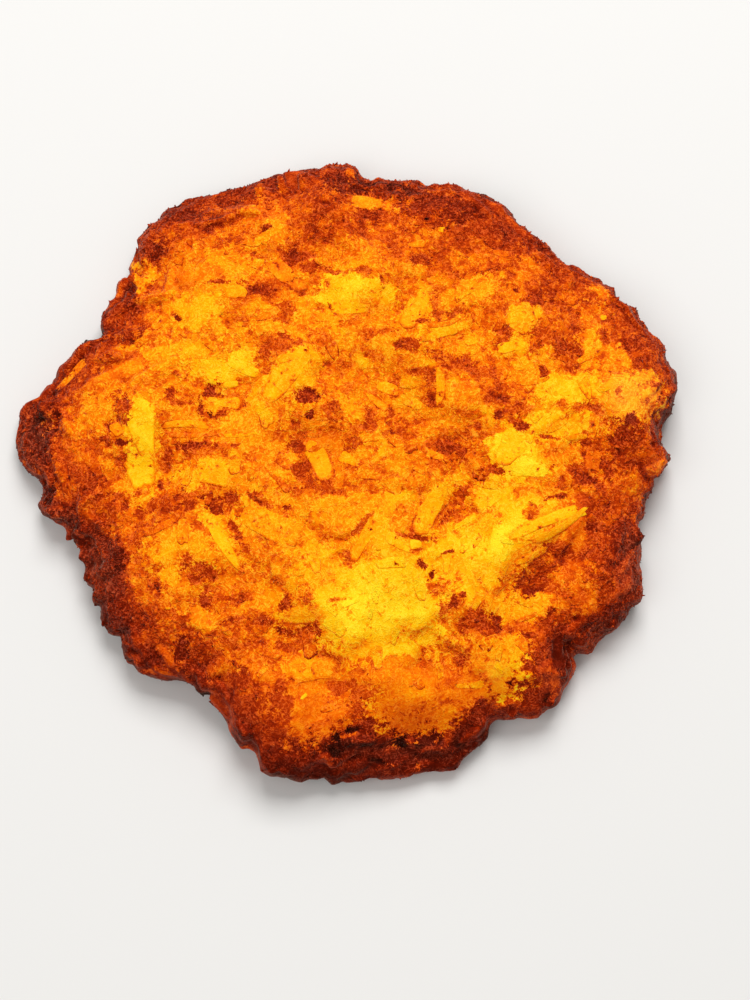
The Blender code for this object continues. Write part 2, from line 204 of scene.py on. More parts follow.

# Brown patches, and holes whose dark tone is partly painted shade, in the same columns
BROWNS = marks(
    (-5.4, 8.8, 3.6, 2.2, 0.38, -10, 0.3, -0.8), (-5.6, 9.7, 1.8, 0.7, 0.34, -18, 0.3, -0.2),
    (-5.2, 5.8, 1.1, 1.2, 0.33, 0, 0.4, -0.4), (-1.5, 6.3, 1.7, 3.8, 0.5, 0, 0.5, -0.2),
    (12.9, 10.2, 1.7, 5.5, 0.5, 8, 0.4, -0.3), (12, 12.4, 3.4, 1.3, 0.52, 5, 0.5, -0.2),
    (9.3, 16.5, 3.2, 1.6, 0.51, 12, 0.6, -0.1), (16.4, 14.3, 8, 1.9, 0.53, -14, 0.6, -0.1),
    (16.8, 0.9, 3.6, 2.4, 0.5, -35, 0.6, -0.1), (5.6, 4.2, 5, 2.8, 0.56, 15, 0.7, -0.1),
    (1.5, 1.7, 3.4, 1.2, 0.54, 10), (-6, -2.4, 2.2, 4, 0.52, 20, 0.6, -0.1), (-7.2, 1.2, 2.2, 1.6, 0.5),
    (-8.2, 3.8, 4, 1.8, 0.59, 5), (-12.8, -7, 5, 1.1, 0.52, -28, 0.6, -0.1),
    (-8.6, -8.2, 1.1, 1, 0.35, 0, 0.5, -0.2), (-15.8, -12, 5.6, 1.2, 0.54, -62, 0.5, -0.2),
    (-11.5, -11.7, 0.9, 0.7, 0.44, -40, 0.5, -0.1), (-26.2, 9.5, 1.6, 1.8, 0.46, 0, 0.5, -0.1),
    (-18.8, 6.2, 2.4, 0.9, 0.48, 28, 0.5, -0.1), (-23.4, 1.4, 4.2, 1.2, 0.4, 0, 0.5, -0.2),
    (-26.1, 0.1, 1.6, 1.6, 0.48), (-18, 1.1, 3.4, 1.2, 0.56),
    (-33.1, 1.9, 2.4, 1.1, 0.29, -8, 0.3, -0.5), (-35.3, 4.6, 2.2, 1.3, 0.35, -48, 0.4, -0.4),
    (-36, 2.7, 2, 1.2, 0.48, 0, 0.6, -0.1), (-33.6, 7.4, 2.4, 4.4, 0.5, 10, 0.5, -0.2),
    (-27.4, -4.4, 1.3, 0.8, 0.41, -60, 0.4, -0.2), (-24.9, -6.2, 2.2, 1, 0.4, 40, 0.5, -0.2),
    (-24, -7.9, 3, 1.1, 0.46, 0, 0.6, -0.1), (-19, -7.6, 2.6, 2.6, 0.48, 0, 0.6, -0.1),
    (-21, -6.6, 1.4, 0.7, 0.4, 0, 0.5, -0.1), (-32.8, -7.6, 1.3, 1.7, 0.41, 0, 0.5, -0.3),
    (-33.9, -5.8, 1.6, 1.2, 0.42, 0, 0.5, -0.1), (-33.6, -6.6, 4.8, 3.2, 0.49, 0, 0.7),
    (-37.7, -3.8, 3.4, 3, 0.44, 60, 0.6, -0.2), (-28.8, -7.8, 6, 1.6, 0.54, 22, 0.7),
    (-25.2, 21.4, 1.5, 0.9, 0.41, -30, 0.4, -0.2), (-20.7, 36, 1.7, 1.5, 0.43, 0, 0.5, -0.2),
    (-17.8, 34, 3.2, 1.6, 0.56), (-12, 35.5, 1.4, 1.2, 0.4, 0, 0.4, -0.2),
    (-12.6, 31, 5.4, 0.9, 0.54, -22, 0.5, -0.1), (-13.9, 25.7, 4.4, 1.7, 0.42, -18, 0.5, -0.2),
    (-8.7, 21.8, 3, 3.2, 0.55, -20, 0.7, -0.1), (-7.2, 27.2, 1.1, 1, 0.33, 0, 0.4, -0.2),
    (-5.4, 29.4, 3, 2, 0.5, 10, 0.6, -0.1), (-8, 32.3, 1.8, 1.4, 0.46, 0, 0.5, -0.1),
    (-4.2, 37.5, 2, 1.5, 0.42, 0, 0.5, -0.2), (3.2, 37.2, 4, 2.8, 0.44, -10, 0.7, -0.1),
    (12.7, 31.2, 5, 1, 0.54, 38, 0.5, -0.1), (13.2, 36.3, 2.2, 0.9, 0.4, -30, 0.5, -0.1),
    (-9.6, 16.4, 7, 2.4, 0.56, 8, 0.7), (13.6, 21.9, 2.2, 1.8, 0.56, 30, 0.7),
    (11.8, 20.4, 4.4, 0.7, 0.52, 3, 0.5, -0.1), (28.8, 24, 2.6, 2.2, 0.42, 0, 0.5, -0.2),
    (31.2, 25, 3.4, 1.2, 0.44, -20, 0.5, -0.1), (33.2, 21.8, 1.6, 4.4, 0.54),
    (31, 18.8, 5, 1.7, 0.56, 10, 0.7), (23.6, 18.4, 2.4, 3.4, 0.54, 10, 0.6, -0.1),
    (28.4, 16.8, 1.7, 2.4, 0.52), (32.8, 16.4, 3.2, 2.2, 0.5),
    (29.4, 12.2, 1.3, 1.8, 0.46, 0, 0.5, -0.1), (25.7, 25.7, 1, 0.9, 0.31, 0, 0.4, -0.3),
    (22.8, 5.6, 1.2, 1.3, 0.33, 0, 0.4, -0.2), (26.2, 3.6, 2.2, 1.3, 0.42, 0, 0.5, -0.1),
    (31.4, 2.3, 6, 0.5, 0.62, -10, 0.5, -0.1), (36, 1.8, 1.4, 1, 0.5),
    (36.6, 7.2, 3, 1, 0.55, -8, 0.5, -0.1), (30.4, -2, 1.2, 0.5, 0.55, 35, 0.5, -0.1),
    (21.8, -2.7, 4.4, 1, 0.5, -6, 0.5, -0.1), (27.5, -8.7, 1.6, 2.8, 0.64, -30),
    (31.3, -6.4, 3.2, 0.9, 0.44, 5, 0.5, -0.1), (36.8, -3.8, 5, 1.6, 0.4, 0, 0.6, -0.2),
    (42, 2.2, 4.5, 6, 0.44, 20, 0.7, -0.2), (42.3, 5.2, 1.8, 1.6, 0.33, 0, 0.5, -0.1),
    (39.2, -1.6, 2.8, 2.2, 0.43, 0, 0.6, -0.1), (37.9, -8.4, 2.2, 2.8, 0.43, 0, 0.6, -0.1),
    (36.6, -10.5, 1.8, 1.2, 0.37, 0, 0.5, -0.1), (28.8, -17.3, 8.8, 3, 0.52, 43, 0.5, -0.3),
    (26.8, -20.4, 2.8, 1.3, 0.31, 12, 0.4, -0.2), (15.7, -22, 1.8, 2.6, 0.42, 0, 0.5, -0.3),
    (17.3, -21.2, 0.9, 0.9, 0.36, 0, 0.4, -0.1), (12.7, -18.6, 1.7, 1, 0.33, 50, 0.4, -0.3),
    (11.1, -16.6, 1.6, 0.9, 0.33, -50, 0.4, -0.3), (15, -15, 1.5, 0.5, 0.42, 22, 0.5, -0.1),
    (10.8, -13, 4, 0.8, 0.5, -8, 0.5, -0.2), (14.6, -9.9, 4.4, 1.1, 0.52, 56, 0.6, -0.1),
    (17, -6.2, 2.8, 1.2, 0.56, 50, 0.6, -0.1), (18.8, -25.6, 4.2, 3, 0.5, 30, 0.5, -0.3),
    (22.2, -25.3, 1.5, 3.4, 0.42, 22, 0.5, -0.3), (16.8, -30.8, 1.7, 1.7, 0.42, 0, 0.5, -0.1),
    (27, -27.1, 2.2, 1.1, 0.46, 0, 0.5, -0.1), (-21.4, -17.6, 4.8, 2.6, 0.51, 0, 0.5, -0.2),
    (-20.7, -22, 1.5, 2.4, 0.43, 10, 0.5, -0.2), (-8.8, -22.2, 1.6, 1.7, 0.44, 0, 0.5, -0.1),
    (-5.3, -22, 2.6, 1.4, 0.6), (-1, -22, 2.4, 0.7, 0.68, 12, 0.5, -0.1),
    (-6.8, -28, 5.6, 3.2, 0.56, 20, 0.5, -0.2), (-9.2, -26.6, 2.4, 1.1, 0.44, -20, 0.5, -0.1),
    (-13.6, -25, 6.4, 1.2, 0.53, -5, 0.6, -0.1), (-16, -21.8, 3.4, 1.6, 0.56),
    (-13.4, -28.5, 3.2, 1.6, 0.56), (-9.4, -37.6, 2.4, 5, 0.44, 0, 0.6, -0.2),
    (1.4, -35, 6.4, 2.8, 0.52, -4, 0.6, -0.3), (1.8, -38.6, 3, 4.4, 0.46, 0, 0.7, -0.3),
    (31.6, -28.4, 2.6, 4.8, 0.22, 8, 0.3, -1), (31.8, -24.2, 2.8, 1.6, 0.48, 0, 0.6, -0.1),
    (5.3, 27.2, 0.6, 3, 0.5, 8, 0.4, -0.1), (0.4, 28.4, 9.5, 0.8, 0.6, -1, 0.4, -0.15),
    (-2, 22.4, 2.8, 0.4, 0.4, -62, 0.5, -0.1), (11.5, 30.6, 2.6, 1.2, 0.4, 20, 0.5, -0.2),
    (-14.5, 25.6, 3, 1.4, 0.43, -10, 0.5, -0.1), (-18.8, 26.8, 4, 0.6, 0.5, 5, 0.5),
    (-17, 17, 2.8, 2.4, 0.62), (-3.8, -5.2, 8, 1.2, 0.6, 12, 0.6, -0.1), (32.6, 16.8, 2.4, 2, 0.44),
    (-16.9, -6.4, 2, 1.6, 0.48), (-15.6, -8.7, 2.4, 2.2, 0.6), (-12.6, -16.2, 3.4, 1, 0.6, -25),
    (14.2, -20.5, 3.6, 2.2, 0.65, 20), (39.6, 18.6, 3, 2.6, 0.54), (22.8, 29.6, 3.4, 2, 0.56, 0, 0.7),
    (33.2, -8.4, 2.6, 1, 0.62, 30), (43, 18.4, 2.4, 3.4, 0.4),
    (-3.6, -11.6, 8.4, 1.1, 0.73, -32, 0.5, -0.1), (2.4, -11, 6.4, 0.9, 0.6, 50, 0.5, -0.2),
    (2.5, -10.7, 2.6, 0.9, 0.6, 50, 0.5, -0.1), (-24.3, 8.2, 5.5, 0.8, 0.58, -3, 0.5, -0.1),
    (-20.3, 9.4, 3.4, 2, 0.41, 60, 0.5, -0.3), (-21.5, 7.2, 3.4, 1, 0.44, 75, 0.5, -0.2),
)

# Pale dry crust and painted sheen, in a mark's columns; the tone here is how pale it is
PALE_MARKS = marks(
    (42.6, 9, 9, 7, 1, 20, 0.7), (38.5, 21, 3, 2.4, 0.5, -30, 0.7), (8.5, -43, 20, 2.4, 0.3, 2, 0.7),
    (22, -32.6, 4, 4, 0.4, 0, 0.7), (-36.5, -16.5, 6, 11, 0.6, 20, 0.7), (-46.8, 3, 5, 11, 0.6, 0, 0.7),
    (-42.5, -9.5, 5, 6, 0.5, 30, 0.7), (42.5, -17, 5, 13, 0.6, -8, 0.7),
    (37.5, -27.5, 7, 4, 0.5, 40, 0.7), (30.5, -33.5, 4, 5, 0.5, 0, 0.7),
    (46.8, -1.2, 3.6, 3.6, 0.8, 0, 0.7),
)

# Flakes that lie in the crust: x, y, length, width, turn, tone, grain, proud
FLAKES = [Flake(*row) for row in (
    (-3.9, -1.1, 6.2, 2.8, -64, 0.8, 0.3, 0.14), (0.7, -0.9, 3.2, 1.4, -32, 0.78, 0.4, 0.1),
    (14.2, 10.1, 5.2, 1.3, 88, 0.78, 0.4, 0.14), (4.8, 8, 4.2, 1.1, -38, 0.74, 0.3, 0.14),
    (6.4, 10.2, 3.6, 1.8, -22, 0.79, 0.5, 0.08), (-8.8, 27.8, 6.4, 2.2, -42, 0.7, 0.3, 0.12),
    (-16.6, 25.2, 3.4, 2.2, 0, 0.78, 0.4, 0.08), (-17.2, 10.8, 2.2, 0.9, 10, 0.88, 0.3, 0.1),
    (31.9, -11.2, 9, 1.2, 33, 0.8, 0.4, 0.3), (34.4, -9.4, 2.4, 0.6, 33, 0.86, 0.3, 0.15),
    (29, -10.6, 11, 1.6, 25, 0.87, 0.4, 0.12), (27.4, -15.6, 5.2, 0.9, 27, 0.74, 0.5, 0.14),
    (-24, 4.8, 6.4, 1, 1, 0.8, 0.4, 0.12), (-22.5, 3, 8, 0.7, 1, 0.66, 0.5, 0.08),
    (-6, -36.2, 1.3, 0.5, 48, 0.91, 0.2, 0.12), (-8.6, 14.4, 3.2, 1.2, 8, 0.8, 0.4, 0.08),
    (-41.5, 13.4, 6.5, 1.1, 44, 0.66, 0.5, 0.1), (13.4, -0.2, 2.6, 1.2, -15, 0.77, 0.6, 0.06),
    (-10.9, -11.2, 9, 3.8, -25, 0.78, 0.5, 0.1), (3, -12.9, 8, 1.9, 56, 0.81, 0.4, 0.1),
    (12.6, -8.4, 8.6, 2.6, 62, 0.83, 0.4, 0.12), (7.8, -14, 4.2, 1.5, -35, 0.87, 0.4, 0.1),
    (10.4, -14, 1.8, 1.4, 0, 0.9, 0.4, 0.08), (-15.5, 2.9, 5.5, 0.6, 3, 0.8, 0.5, 0.08),
    (-17.4, 8, 3, 1.6, 0, 0.8, 0.5, 0.06), (3.2, 39.9, 4.6, 2.3, -5, 0.73, 0.4, 0.12),
    (0.6, 22.7, 5.5, 2, -8, 0.84, 0.4, 0.08), (10.5, 22, 6, 2.4, 55, 0.8, 0.4, 0.12),
    (14.6, 18.7, 6.5, 1.1, 20, 0.82, 0.5, 0.08), (15, 20.3, 6, 0.9, 18, 0.67, 0.5, 0.08),
    (11.5, 26, 3, 0.8, -10, 0.74, 0.5, 0.06), (10.7, 32.8, 2.6, 1, 0, 0.7, 0.5, 0.06),
    (14.4, 35.3, 1, 0.8, 0, 0.84, 0.3, 0.08), (-3.2, 21.2, 5, 1.5, -8, 0.74, 0.5, 0.06),
    (26.3, 21.3, 4.4, 3.4, 10, 0.8, 0.6, 0.07), (26.6, 19.6, 2.6, 2.4, 60, 0.79, 0.6, 0.06),
    (24.9, 16.5, 4.2, 1.5, 5, 0.84, 0.4, 0.1), (23.5, 31.7, 2.6, 1, -10, 0.6, 0.4, 0.08),
    (18.8, 17.8, 2.6, 1.8, 20, 0.79, 0.5, 0.06), (38.8, 21.6, 0.9, 0.8, 0, 0.82, 0.3, 0.08),
    (-37.6, -1, 5, 1.8, -58, 0.57, 0.5, 0.08), (-34.2, 4, 2.4, 1.6, -60, 0.73, 0.3, 0.08),
    (-18.1, -13.4, 9.5, 1.9, -60, 0.86, 0.4, 0.12), (-42, -2.5, 9, 1.4, 100, 0.52, 0.6, 0.08),
    (-19.8, 7.4, 3, 1.8, 80, 0.8, 0.5, 0.06), (-27.4, -11, 5, 1.2, 22, 0.63, 0.4, 0.08),
    (-21, -24.8, 4.8, 2, -60, 0.7, 0.4, 0.1), (-7, -24.4, 6.5, 2.2, 4, 0.78, 0.5, 0.05),
    (-4.9, -32.4, 6.5, 2.6, 6, 0.74, 0.5, 0.04), (18.3, -34.4, 4, 0.9, 5, 0.78, 0.5, 0.06),
    (36.8, -0.6, 3.2, 2.4, 80, 0.6, 0.3, 0.06), (-30.2, 3.8, 8, 4, 95, 0.9, 0.4, 0.05),
    (-30.4, -1.5, 6.4, 3.8, 100, 0.89, 0.4, 0.05), (-19.6, -3, 5, 3, 0, 0.84, 0.5, 0.06),
    (-9, 11.6, 9.5, 3.4, 48, 0.84, 0.5, 0.08), (24.4, 0.4, 5, 3.6, 60, 0.89, 0.4, 0.06),
)]

# Marks near the rim and on the ledge below it, in a mark's columns; they may lie on steep places; the
# darkest, sunk ones are painted shade in cavities
RIM_MARKS = marks(
    (11.5, 38.5, 5, 4, 0.42, 10), (17, 38.5, 5, 5, 0.36), (13.5, 40, 6, 3, 0.37), (0, 43.5, 7, 4, 0.31),
    (8.5, 42.6, 4.5, 1.8, 0.28, 0, 0.5, -0.2), (-24, 38.8, 6, 1.5, 0.36, 10), (-29, 33, 3, 3, 0.37),
    (-33, 25, 3, 4, 0.34), (-34, 22, 3, 4, 0.43), (-32.3, 18.8, 4, 2, 0.39, 20),
    (-38.5, 14, 3, 2, 0.49), (-36.8, 15.4, 4, 2.4, 0.56, 35),
    (-46.2, 6.8, 1.8, 1.8, 0.12, 0, 0.4, -0.3), (-46, 3, 5, 9, 0.29, 0, 0.7),
    (-44, -4.5, 2, 3, 0.24, 0, 0.5, -0.3), (-43.5, -5.5, 1, 1.5, 0.16, 0, 0.5, -0.2),
    (-43, -8.5, 3, 3, 0.28), (-36.5, -13, 5, 5, 0.34, 0, 0.7), (-34.5, -15.5, 3, 4, 0.28, 0, 0.6, -0.1),
    (-36.5, -17.5, 3, 5, 0.34), (-33, -26, 4, 4, 0.28, 0, 0.6, -0.1),
    (-24, -29, 2.5, 3, 0.32, 0, 0.6, -0.1), (-29, -30.3, 5, 1, 0.3, 0, 0.6, -0.1),
    (-21, -33.5, 4, 3, 0.25, 0, 0.6, -0.1), (-15.5, -34, 3, 4, 0.38), (-14, -38, 6, 5, 0.42, 0, 0.7),
    (21, -39, 6, 2, 0.32, 10), (24, -38, 2, 1.5, 0.3, 0, 0.5, -0.1), (28, -36, 4, 4, 0.35),
    (-12.2, -41.2, 6.5, 3.6, 0.38, -30, 0.7), (38.2, -19, 4.5, 5, 0.49, 0, 0.7),
    (46.6, -1.2, 3.6, 3.4, 0.58), (9, -43.5, 24, 4.2, 0.22, 2), (3.8, -40.6, 4.4, 2.4, 0.34),
    (-1.6, -44.2, 1.6, 1.6, 0.08, 0, 0.4, -0.5), (-1.2, -42, 1.2, 1.4, 0.1, 0, 0.4, -0.4),
    (1.2, -40.6, 2.6, 0.8, 0.12, 12, 0.4, -0.4), (4.6, -44.8, 3, 0.8, 0.08, -6, 0.4, -0.4),
    (8.4, -42.2, 2, 1.2, 0.09, 10, 0.4, -0.5), (17, -42.8, 2, 0.9, 0.12, -10, 0.4, -0.4),
    (9.7, -42.3, 0.8, 1.6, 0.44, 5, 0.4, 0.3), (0.4, -42.2, 1.6, 0.9, 0.26, 0, 0.4, 0.2),
    (-3, -45.3, 1.8, 1.2, 0.4, 30, 0.4, 0.2), (3.4, -41.8, 3.4, 0.8, 0.32, -25, 0.5, 0.2),
    (6.6, -43.2, 3, 0.7, 0.33, 20, 0.5, 0.2), (13, -43, 4, 0.8, 0.34, 8, 0.5, 0.2),
    (15.2, -41.6, 0.8, 2.6, 0.42, -20, 0.5, 0.3), (18.6, -41.4, 2.6, 0.8, 0.36, 35, 0.5, 0.2),
    (11.6, -44.6, 3, 0.7, 0.32, -5, 0.5, 0.2), (1.6, -45, 2.4, 0.7, 0.33, 15, 0.5, 0.2),
)

# Bits that stand out from the side: x, y and z of the tip's middle, length and width
NUBS = (
    (-13.5, 43.4, 7, 2.5, 1.4), (-10, 44.4, 7, 2.5, 1.2), (-6.6, 45, 7.4, 3.2, 2.2),
    (-2.6, 45.6, 7, 4, 2.8), (0.3, 45.6, 6.6, 4, 2.6), (17, 42.6, 6.6, 3, 1.8),
    (47.3, -1.1, 7.2, 3.4, 3.2), (-33.2, 29.4, 6.6, 2.6, 1.6), (-46.2, 8.2, 6.4, 4, 3),
    (-44.4, -8, 5.6, 3, 2), (-40.8, -11, 5.6, 3, 1.8), (-38.2, -15.2, 5.6, 3, 2),
    (-36.2, -21, 5.4, 3, 1.8), (-33.2, -27.6, 5.4, 3, 2), (-31, -30.4, 5.4, 3.4, 2.4),
    (-14.6, -42.8, 4.6, 2.6, 1.2), (-11.5, -44.9, 4.6, 2.6, 1.6), (25, -38.7, 5.4, 2.6, 1.6),
    (30.6, -37, 5.4, 2.6, 1.8), (33.2, -30.6, 5.4, 2.4, 1.4), (35.6, -28, 5.4, 2.6, 1.8),
    (40.2, -25, 5.4, 2.8, 2), (43.2, -20, 5.6, 2.6, 1.6), (45.4, 21.8, 6.6, 2.6, 2),
)

# Where the top face runs evenly down to the ledge on the -Y side, how much deeper the strands of
# the top face lie there, and how far the wall's strands are drawn in
EVEN_GROUND = Mark(10, -37.8, 19, 8.6)
EVEN_GROUND_CORE = 0.8
EVEN_GROUND_SINK = 0.8
EVEN_GROUND_DRAW = 3.0 * EVEN_GROUND_SINK

# Small lobes and notches of the outline, picked where the photo's measured outline has them:
# direction and half width in degrees, push outwards
OUTLINE_STEPS = (
    (0.5, 2, 1), (6, 3.5, -1.1), (12, 3, 0.3), (18, 2, -0.6), (25, 4, -0.6), (31.5, 2.5, -0.8),
    (58, 3, 0.4), (68, 3, 0.2), (73, 3, -0.7), (79, 3, 0.3), (86, 2, -1), (89, 1.5, 0.5), (98, 2, 0.3),
    (104, 5, 0.5), (116, 4, 0.4), (127, 1.5, -0.4), (134, 4, 0.5), (138, 1.2, -0.6), (143, 1.5, -0.5),
    (147.5, 2, 0.5), (152, 2, -1.1), (157, 3, 0.4), (161, 1.5, 0.5), (166, 3, -0.4), (169.5, 2, 0.8),
    (178, 3, 0.4), (183, 2.2, -0.7), (188, 2.2, 1.2), (193, 2, -1.1), (197, 2.5, -0.6), (202, 2, -0.5),
    (204.5, 1.5, 0.4), (209, 1.5, 0.6), (214, 3.5, 0.6), (218.5, 1.5, -0.6), (222, 1.5, 0.4),
    (228, 4.5, 0.6), (238, 1.5, 0.5), (243.5, 4, -0.9), (252.5, 2, -1.2), (256, 2, 0.9),
    (265, 2.5, -0.6), (268, 1.5, 0.5), (272.5, 2, 0.4), (280, 5, 0.4), (292.5, 2.5, -0.6),
    (299.5, 2, -0.6), (306, 2, 0.5), (316, 2.5, 0.4), (320, 1.5, -0.9), (325.5, 2, -0.5), (335, 2, 0.5),
    (341, 3, -0.45), (348, 1.5, -0.4), (355.5, 2, 0.6),
)

# Browning of the rim: direction in degrees, tone at the very edge, and how far it reaches inwards
RIM_BROWNING = (
    (22, 0.44, 12), (67, 0.35, 14), (112, 0.38, 11), (157, 0.40, 11),
    (202, 0.30, 13), (247, 0.28, 16), (292, 0.23, 15), (337, 0.32, 16),
)
MIDDLE_TONE = 0.70
# Tone of the wall: browned crust, darkened further as painted shade
WALL_TONE = 0.295
# Dryness of the wall, and the painted sheen that goes with it
WALL_DRYNESS_AND_SHEEN = 0.5
BASE_TONE = 0.50

# Power that makes the marks blunt ovals: 2 would be an ellipse
MARK_POWER = 2.6

# Skin of the body: grid of the fused mesh, and the count asked for when its base is thinned. The
# thinning spares the rest of the skin, so about 197,000 triangles are left.
SKIN_GRID = 0.365
BODY_TRIANGLES = 180000
BASE_BELOW = 0.4

# Relief of the skin: bumps as height, size across and seed, then the depth of the pits
PEBBLES = ((0.18, 1.9, 1), (0.14, 1.0, 2))
PIT_DEPTH = 0.35

# How often heights are averaged with their neighbours': where bare potato is smooth, to tell
# hollows from humps, and to find the slope
BARE_ROUNDS = 30
HOLLOW_ROUNDS = 6
SLOPE_ROUNDS = 4

# Strands of potato; ranges are from least to most
STRAND_SEED = 7
STRAND_RINGS = 10
STRAND_SIDES = 8
STRAND_BOXINESS = 0.7
STRAND_BLUNTNESS = 5.0
UP = np.array([0.0, 0.0, 1.0])

TOP_STRANDS = 150
TOP_STRAND_REACH = 46.0
TOP_STRAND_LENGTH = (5.0, 16.0)
TOP_STRAND_BEND = (-0.7, 0.7)
TOP_STRAND_WIDTH = (1.3, 3.4)
TOP_STRAND_THICKNESS = (1.0, 1.7)
TOP_STRAND_PROUD = (-0.05, 0.40)
TOP_STRAND_LOWEST = 4.0

WALL_STRANDS = 170
WALL_STRAND_MIDDLE = (1.6, 7.4)
WALL_STRAND_LENGTH = (5.0, 15.0)
WALL_STRAND_SLANT = 0.35
WALL_STRAND_WIDTH = (1.5, 3.2)
WALL_STRAND_THICKNESS = (0.9, 1.6)
WALL_STRAND_PROUD = (-0.25, 0.35)
WALL_STRAND_SWING = (-0.5, 0.9)
WALL_STRAND_LEAST_REACH = 20.0

# Ease with which high places are pressed below the top
LID_EASE = 0.7

# Flakes strewn between the listed ones, the lowest place for a flake, and the most that a strewn
# one may rise or fall over its length
PIECES = 170
PIECE_SEED = 12
PIECE_REACH = 44.0
PIECE_LENGTH = (1.8, 9.0)
PIECE_WIDEST = 1.8
FLAKE_LOWEST = 4.5
STEEPEST = 1.3
MOST_UNEVEN_TONE = 0.10
FLAKE_SPOKES = 28
FLAKE_RINGS = (0.0, 0.4, 0.65, 0.82, 0.94, 1.0, 1.03)

# Crumbs of crust: usual size, and the range it is held to
CRUMBS = 9500
CRUMB_SEED = 21
CRUMB_SIZE = 0.17
CRUMB_SIZES = (0.08, 0.33)

# Lights: name, place in metres, side in metres, power in watts
LIGHTS = (
    ("key", (0.08, 0.52, 0.75), 0.50, 7.0),
    ("fill", (-0.40, -0.30, 0.80), 0.6, 2.0),
)
SURROUND_COLOUR = (1.0, 0.99, 0.97, 1.0)
SURROUND_STRENGTH = 0.38
FLOOR_SIDE = 6.0
FLOOR_COLOUR = (0.78, 0.77, 0.75, 1.0)
FLOOR_ROUGHNESS = 0.85

# Shine of the crust: both weights are low, as the crust is dry
CRUST_SPECULAR = 0.018
CRUST_SHEEN = 0.22
CRUST_SHEEN_ROUGHNESS = 0.3
CRUST_SHEEN_TINT = (1.0, 0.70, 0.52, 1.0)

# Colour of the fried potato from burnt to barely browned
BROWNING = (
    (0.05, (40, 6, 1)), (0.19, (92, 16, 1)), (0.29, (136, 30, 2)), (0.38, (174, 48, 2)),
    (0.48, (210, 73, 2)), (0.57, (232, 96, 2)), (0.67, (246, 122, 3)), (0.76, (251, 150, 4)),
    (0.86, (253, 180, 7)), (1.0, (254, 218, 32)),
)

# Painted highlight: pale light added to the colour on light ridges and on dry crust, in place of glints and
# sheen
PAINTED_GLEAM = (0.066, 0.052, 0.029, 1.0)


# ---------------------------------------------------------------------------
# Arithmetic

def smoothstep(low, high, value):
    """Ease from 0 at low to 1 at high."""
    share = np.clip((value - low) / (high - low), 0.0, 1.0)
    return share * share * (3.0 - 2.0 * share)


def lumps(points, size, octaves=3, seed=0):
    """Fractal noise, mostly -1 to 1, whose largest lumps are about size millimetres across."""
    shift = np.array([17.3, 5.1, 9.7]) * (seed + 1)
    scaled = points / size + shift
    return np.array([noise.fractal(Vector(point), 1.0, 2.0, octaves) for point in scaled])


def pebbles(points, size, seed):
    """Rounded bumps about size millimetres across: 1 at the middle of each, 0 between them."""
    shift = np.array([7.1, 13.7, 2.9]) * (seed + 1)
    scaled = points / size + shift
    nearest = np.array([noise.voronoi(Vector(point))[0][0] for point in scaled])
    return 1.0 - np.clip(nearest / 0.75, 0.0, 1.0) ** 2


def wander(points, size, seed=0):
    """Shifts in x and y, mostly -1 to 1, that bend straight outlines; read at two places apart."""
    shift = np.array([3.7, 11.9, 6.3]) * (seed + 1)
    scaled = points / size + shift
    return np.array([[noise.noise(Vector(point + apart)) for apart in (0.0, 31.4)] for point in scaled])


def under_lid(heights, lid):
    """Press heights smoothly down so that they stay below a lid."""
    over = np.maximum(heights - (lid - LID_EASE), 0.0)
    return np.minimum(heights, lid - LID_EASE) + LID_EASE * (1.0 - np.exp(-over / LID_EASE))


def directions(points):
    """Direction of each point from the middle, in radians from 0 to a full turn."""
    return np.mod(np.arctan2(points[:, 1], points[:, 0]), 2.0 * math.pi)


# ---------------------------------------------------------------------------
# Meshes as arrays

def read_points(mesh):
    """Points of a mesh, in millimetres."""
    points = np.empty(3 * len(mesh.vertices))
    mesh.vertices.foreach_get("co", points)
    return points.reshape(-1, 3) / MM


def read_normals(mesh):
    """Normals at the points of a mesh."""
    normals = np.empty(3 * len(mesh.vertices))
    mesh.vertex_normals.foreach_get("vector", normals)
    return normals.reshape(-1, 3)


def read_edges(mesh):
    """Pairs of points that an edge joins."""
    edges = np.empty(2 * len(mesh.edges), dtype=np.int32)
    mesh.edges.foreach_get("vertices", edges)
    return edges.reshape(-1, 2)


def read_faces(mesh):
    """Faces of a mesh, each a tuple of point numbers."""
    return [tuple(face.vertices) for face in mesh.polygons]


def write_points(mesh, points):
    """Move the points of a mesh."""
    mesh.vertices.foreach_set("co", (points * MM).ravel())
    mesh.update()


def write_value(mesh, name, values):
    """Store one number for each point, for the material to read."""
    attribute = mesh.attributes.new(name, "FLOAT", "POINT")
    attribute.data.foreach_set("value", np.ascontiguousarray(values, dtype=np.float32))


def new_object(name, points, faces):
    """Mesh object from points in millimetres."""
    mesh = bpy.data.meshes.new(name)
    mesh.from_pydata([tuple(point) for point in np.asarray(points) * MM], [], faces)
    mesh.update()
    thing = bpy.data.objects.new(name, mesh)
    bpy.context.scene.collection.objects.link(thing)
    return thing


def bake_modifiers(thing):
    """Replace the object's mesh with its evaluated mesh and drop its modifiers."""
    bpy.context.view_layer.update()
    evaluated = thing.evaluated_get(bpy.context.evaluated_depsgraph_get())
    done = bpy.data.meshes.new_from_object(evaluated)
    thing.modifiers.clear()
    rough = thing.data
    thing.data = done
    bpy.data.meshes.remove(rough)


def averaged(values, edges, times):
    """Each point's value averaged with its neighbours' values, several times over."""
    count = len(values)
    first, second = edges[:, 0], edges[:, 1]
    neighbours = np.bincount(first, minlength=count) + np.bincount(second, minlength=count) + 1.0
    for _ in range(times):
        total = values + np.bincount(first, values[second], count)
        total += np.bincount(second, values[first], count)
        values = total / neighbours
    return values


# ---------------------------------------------------------------------------
# The CAD node, measured

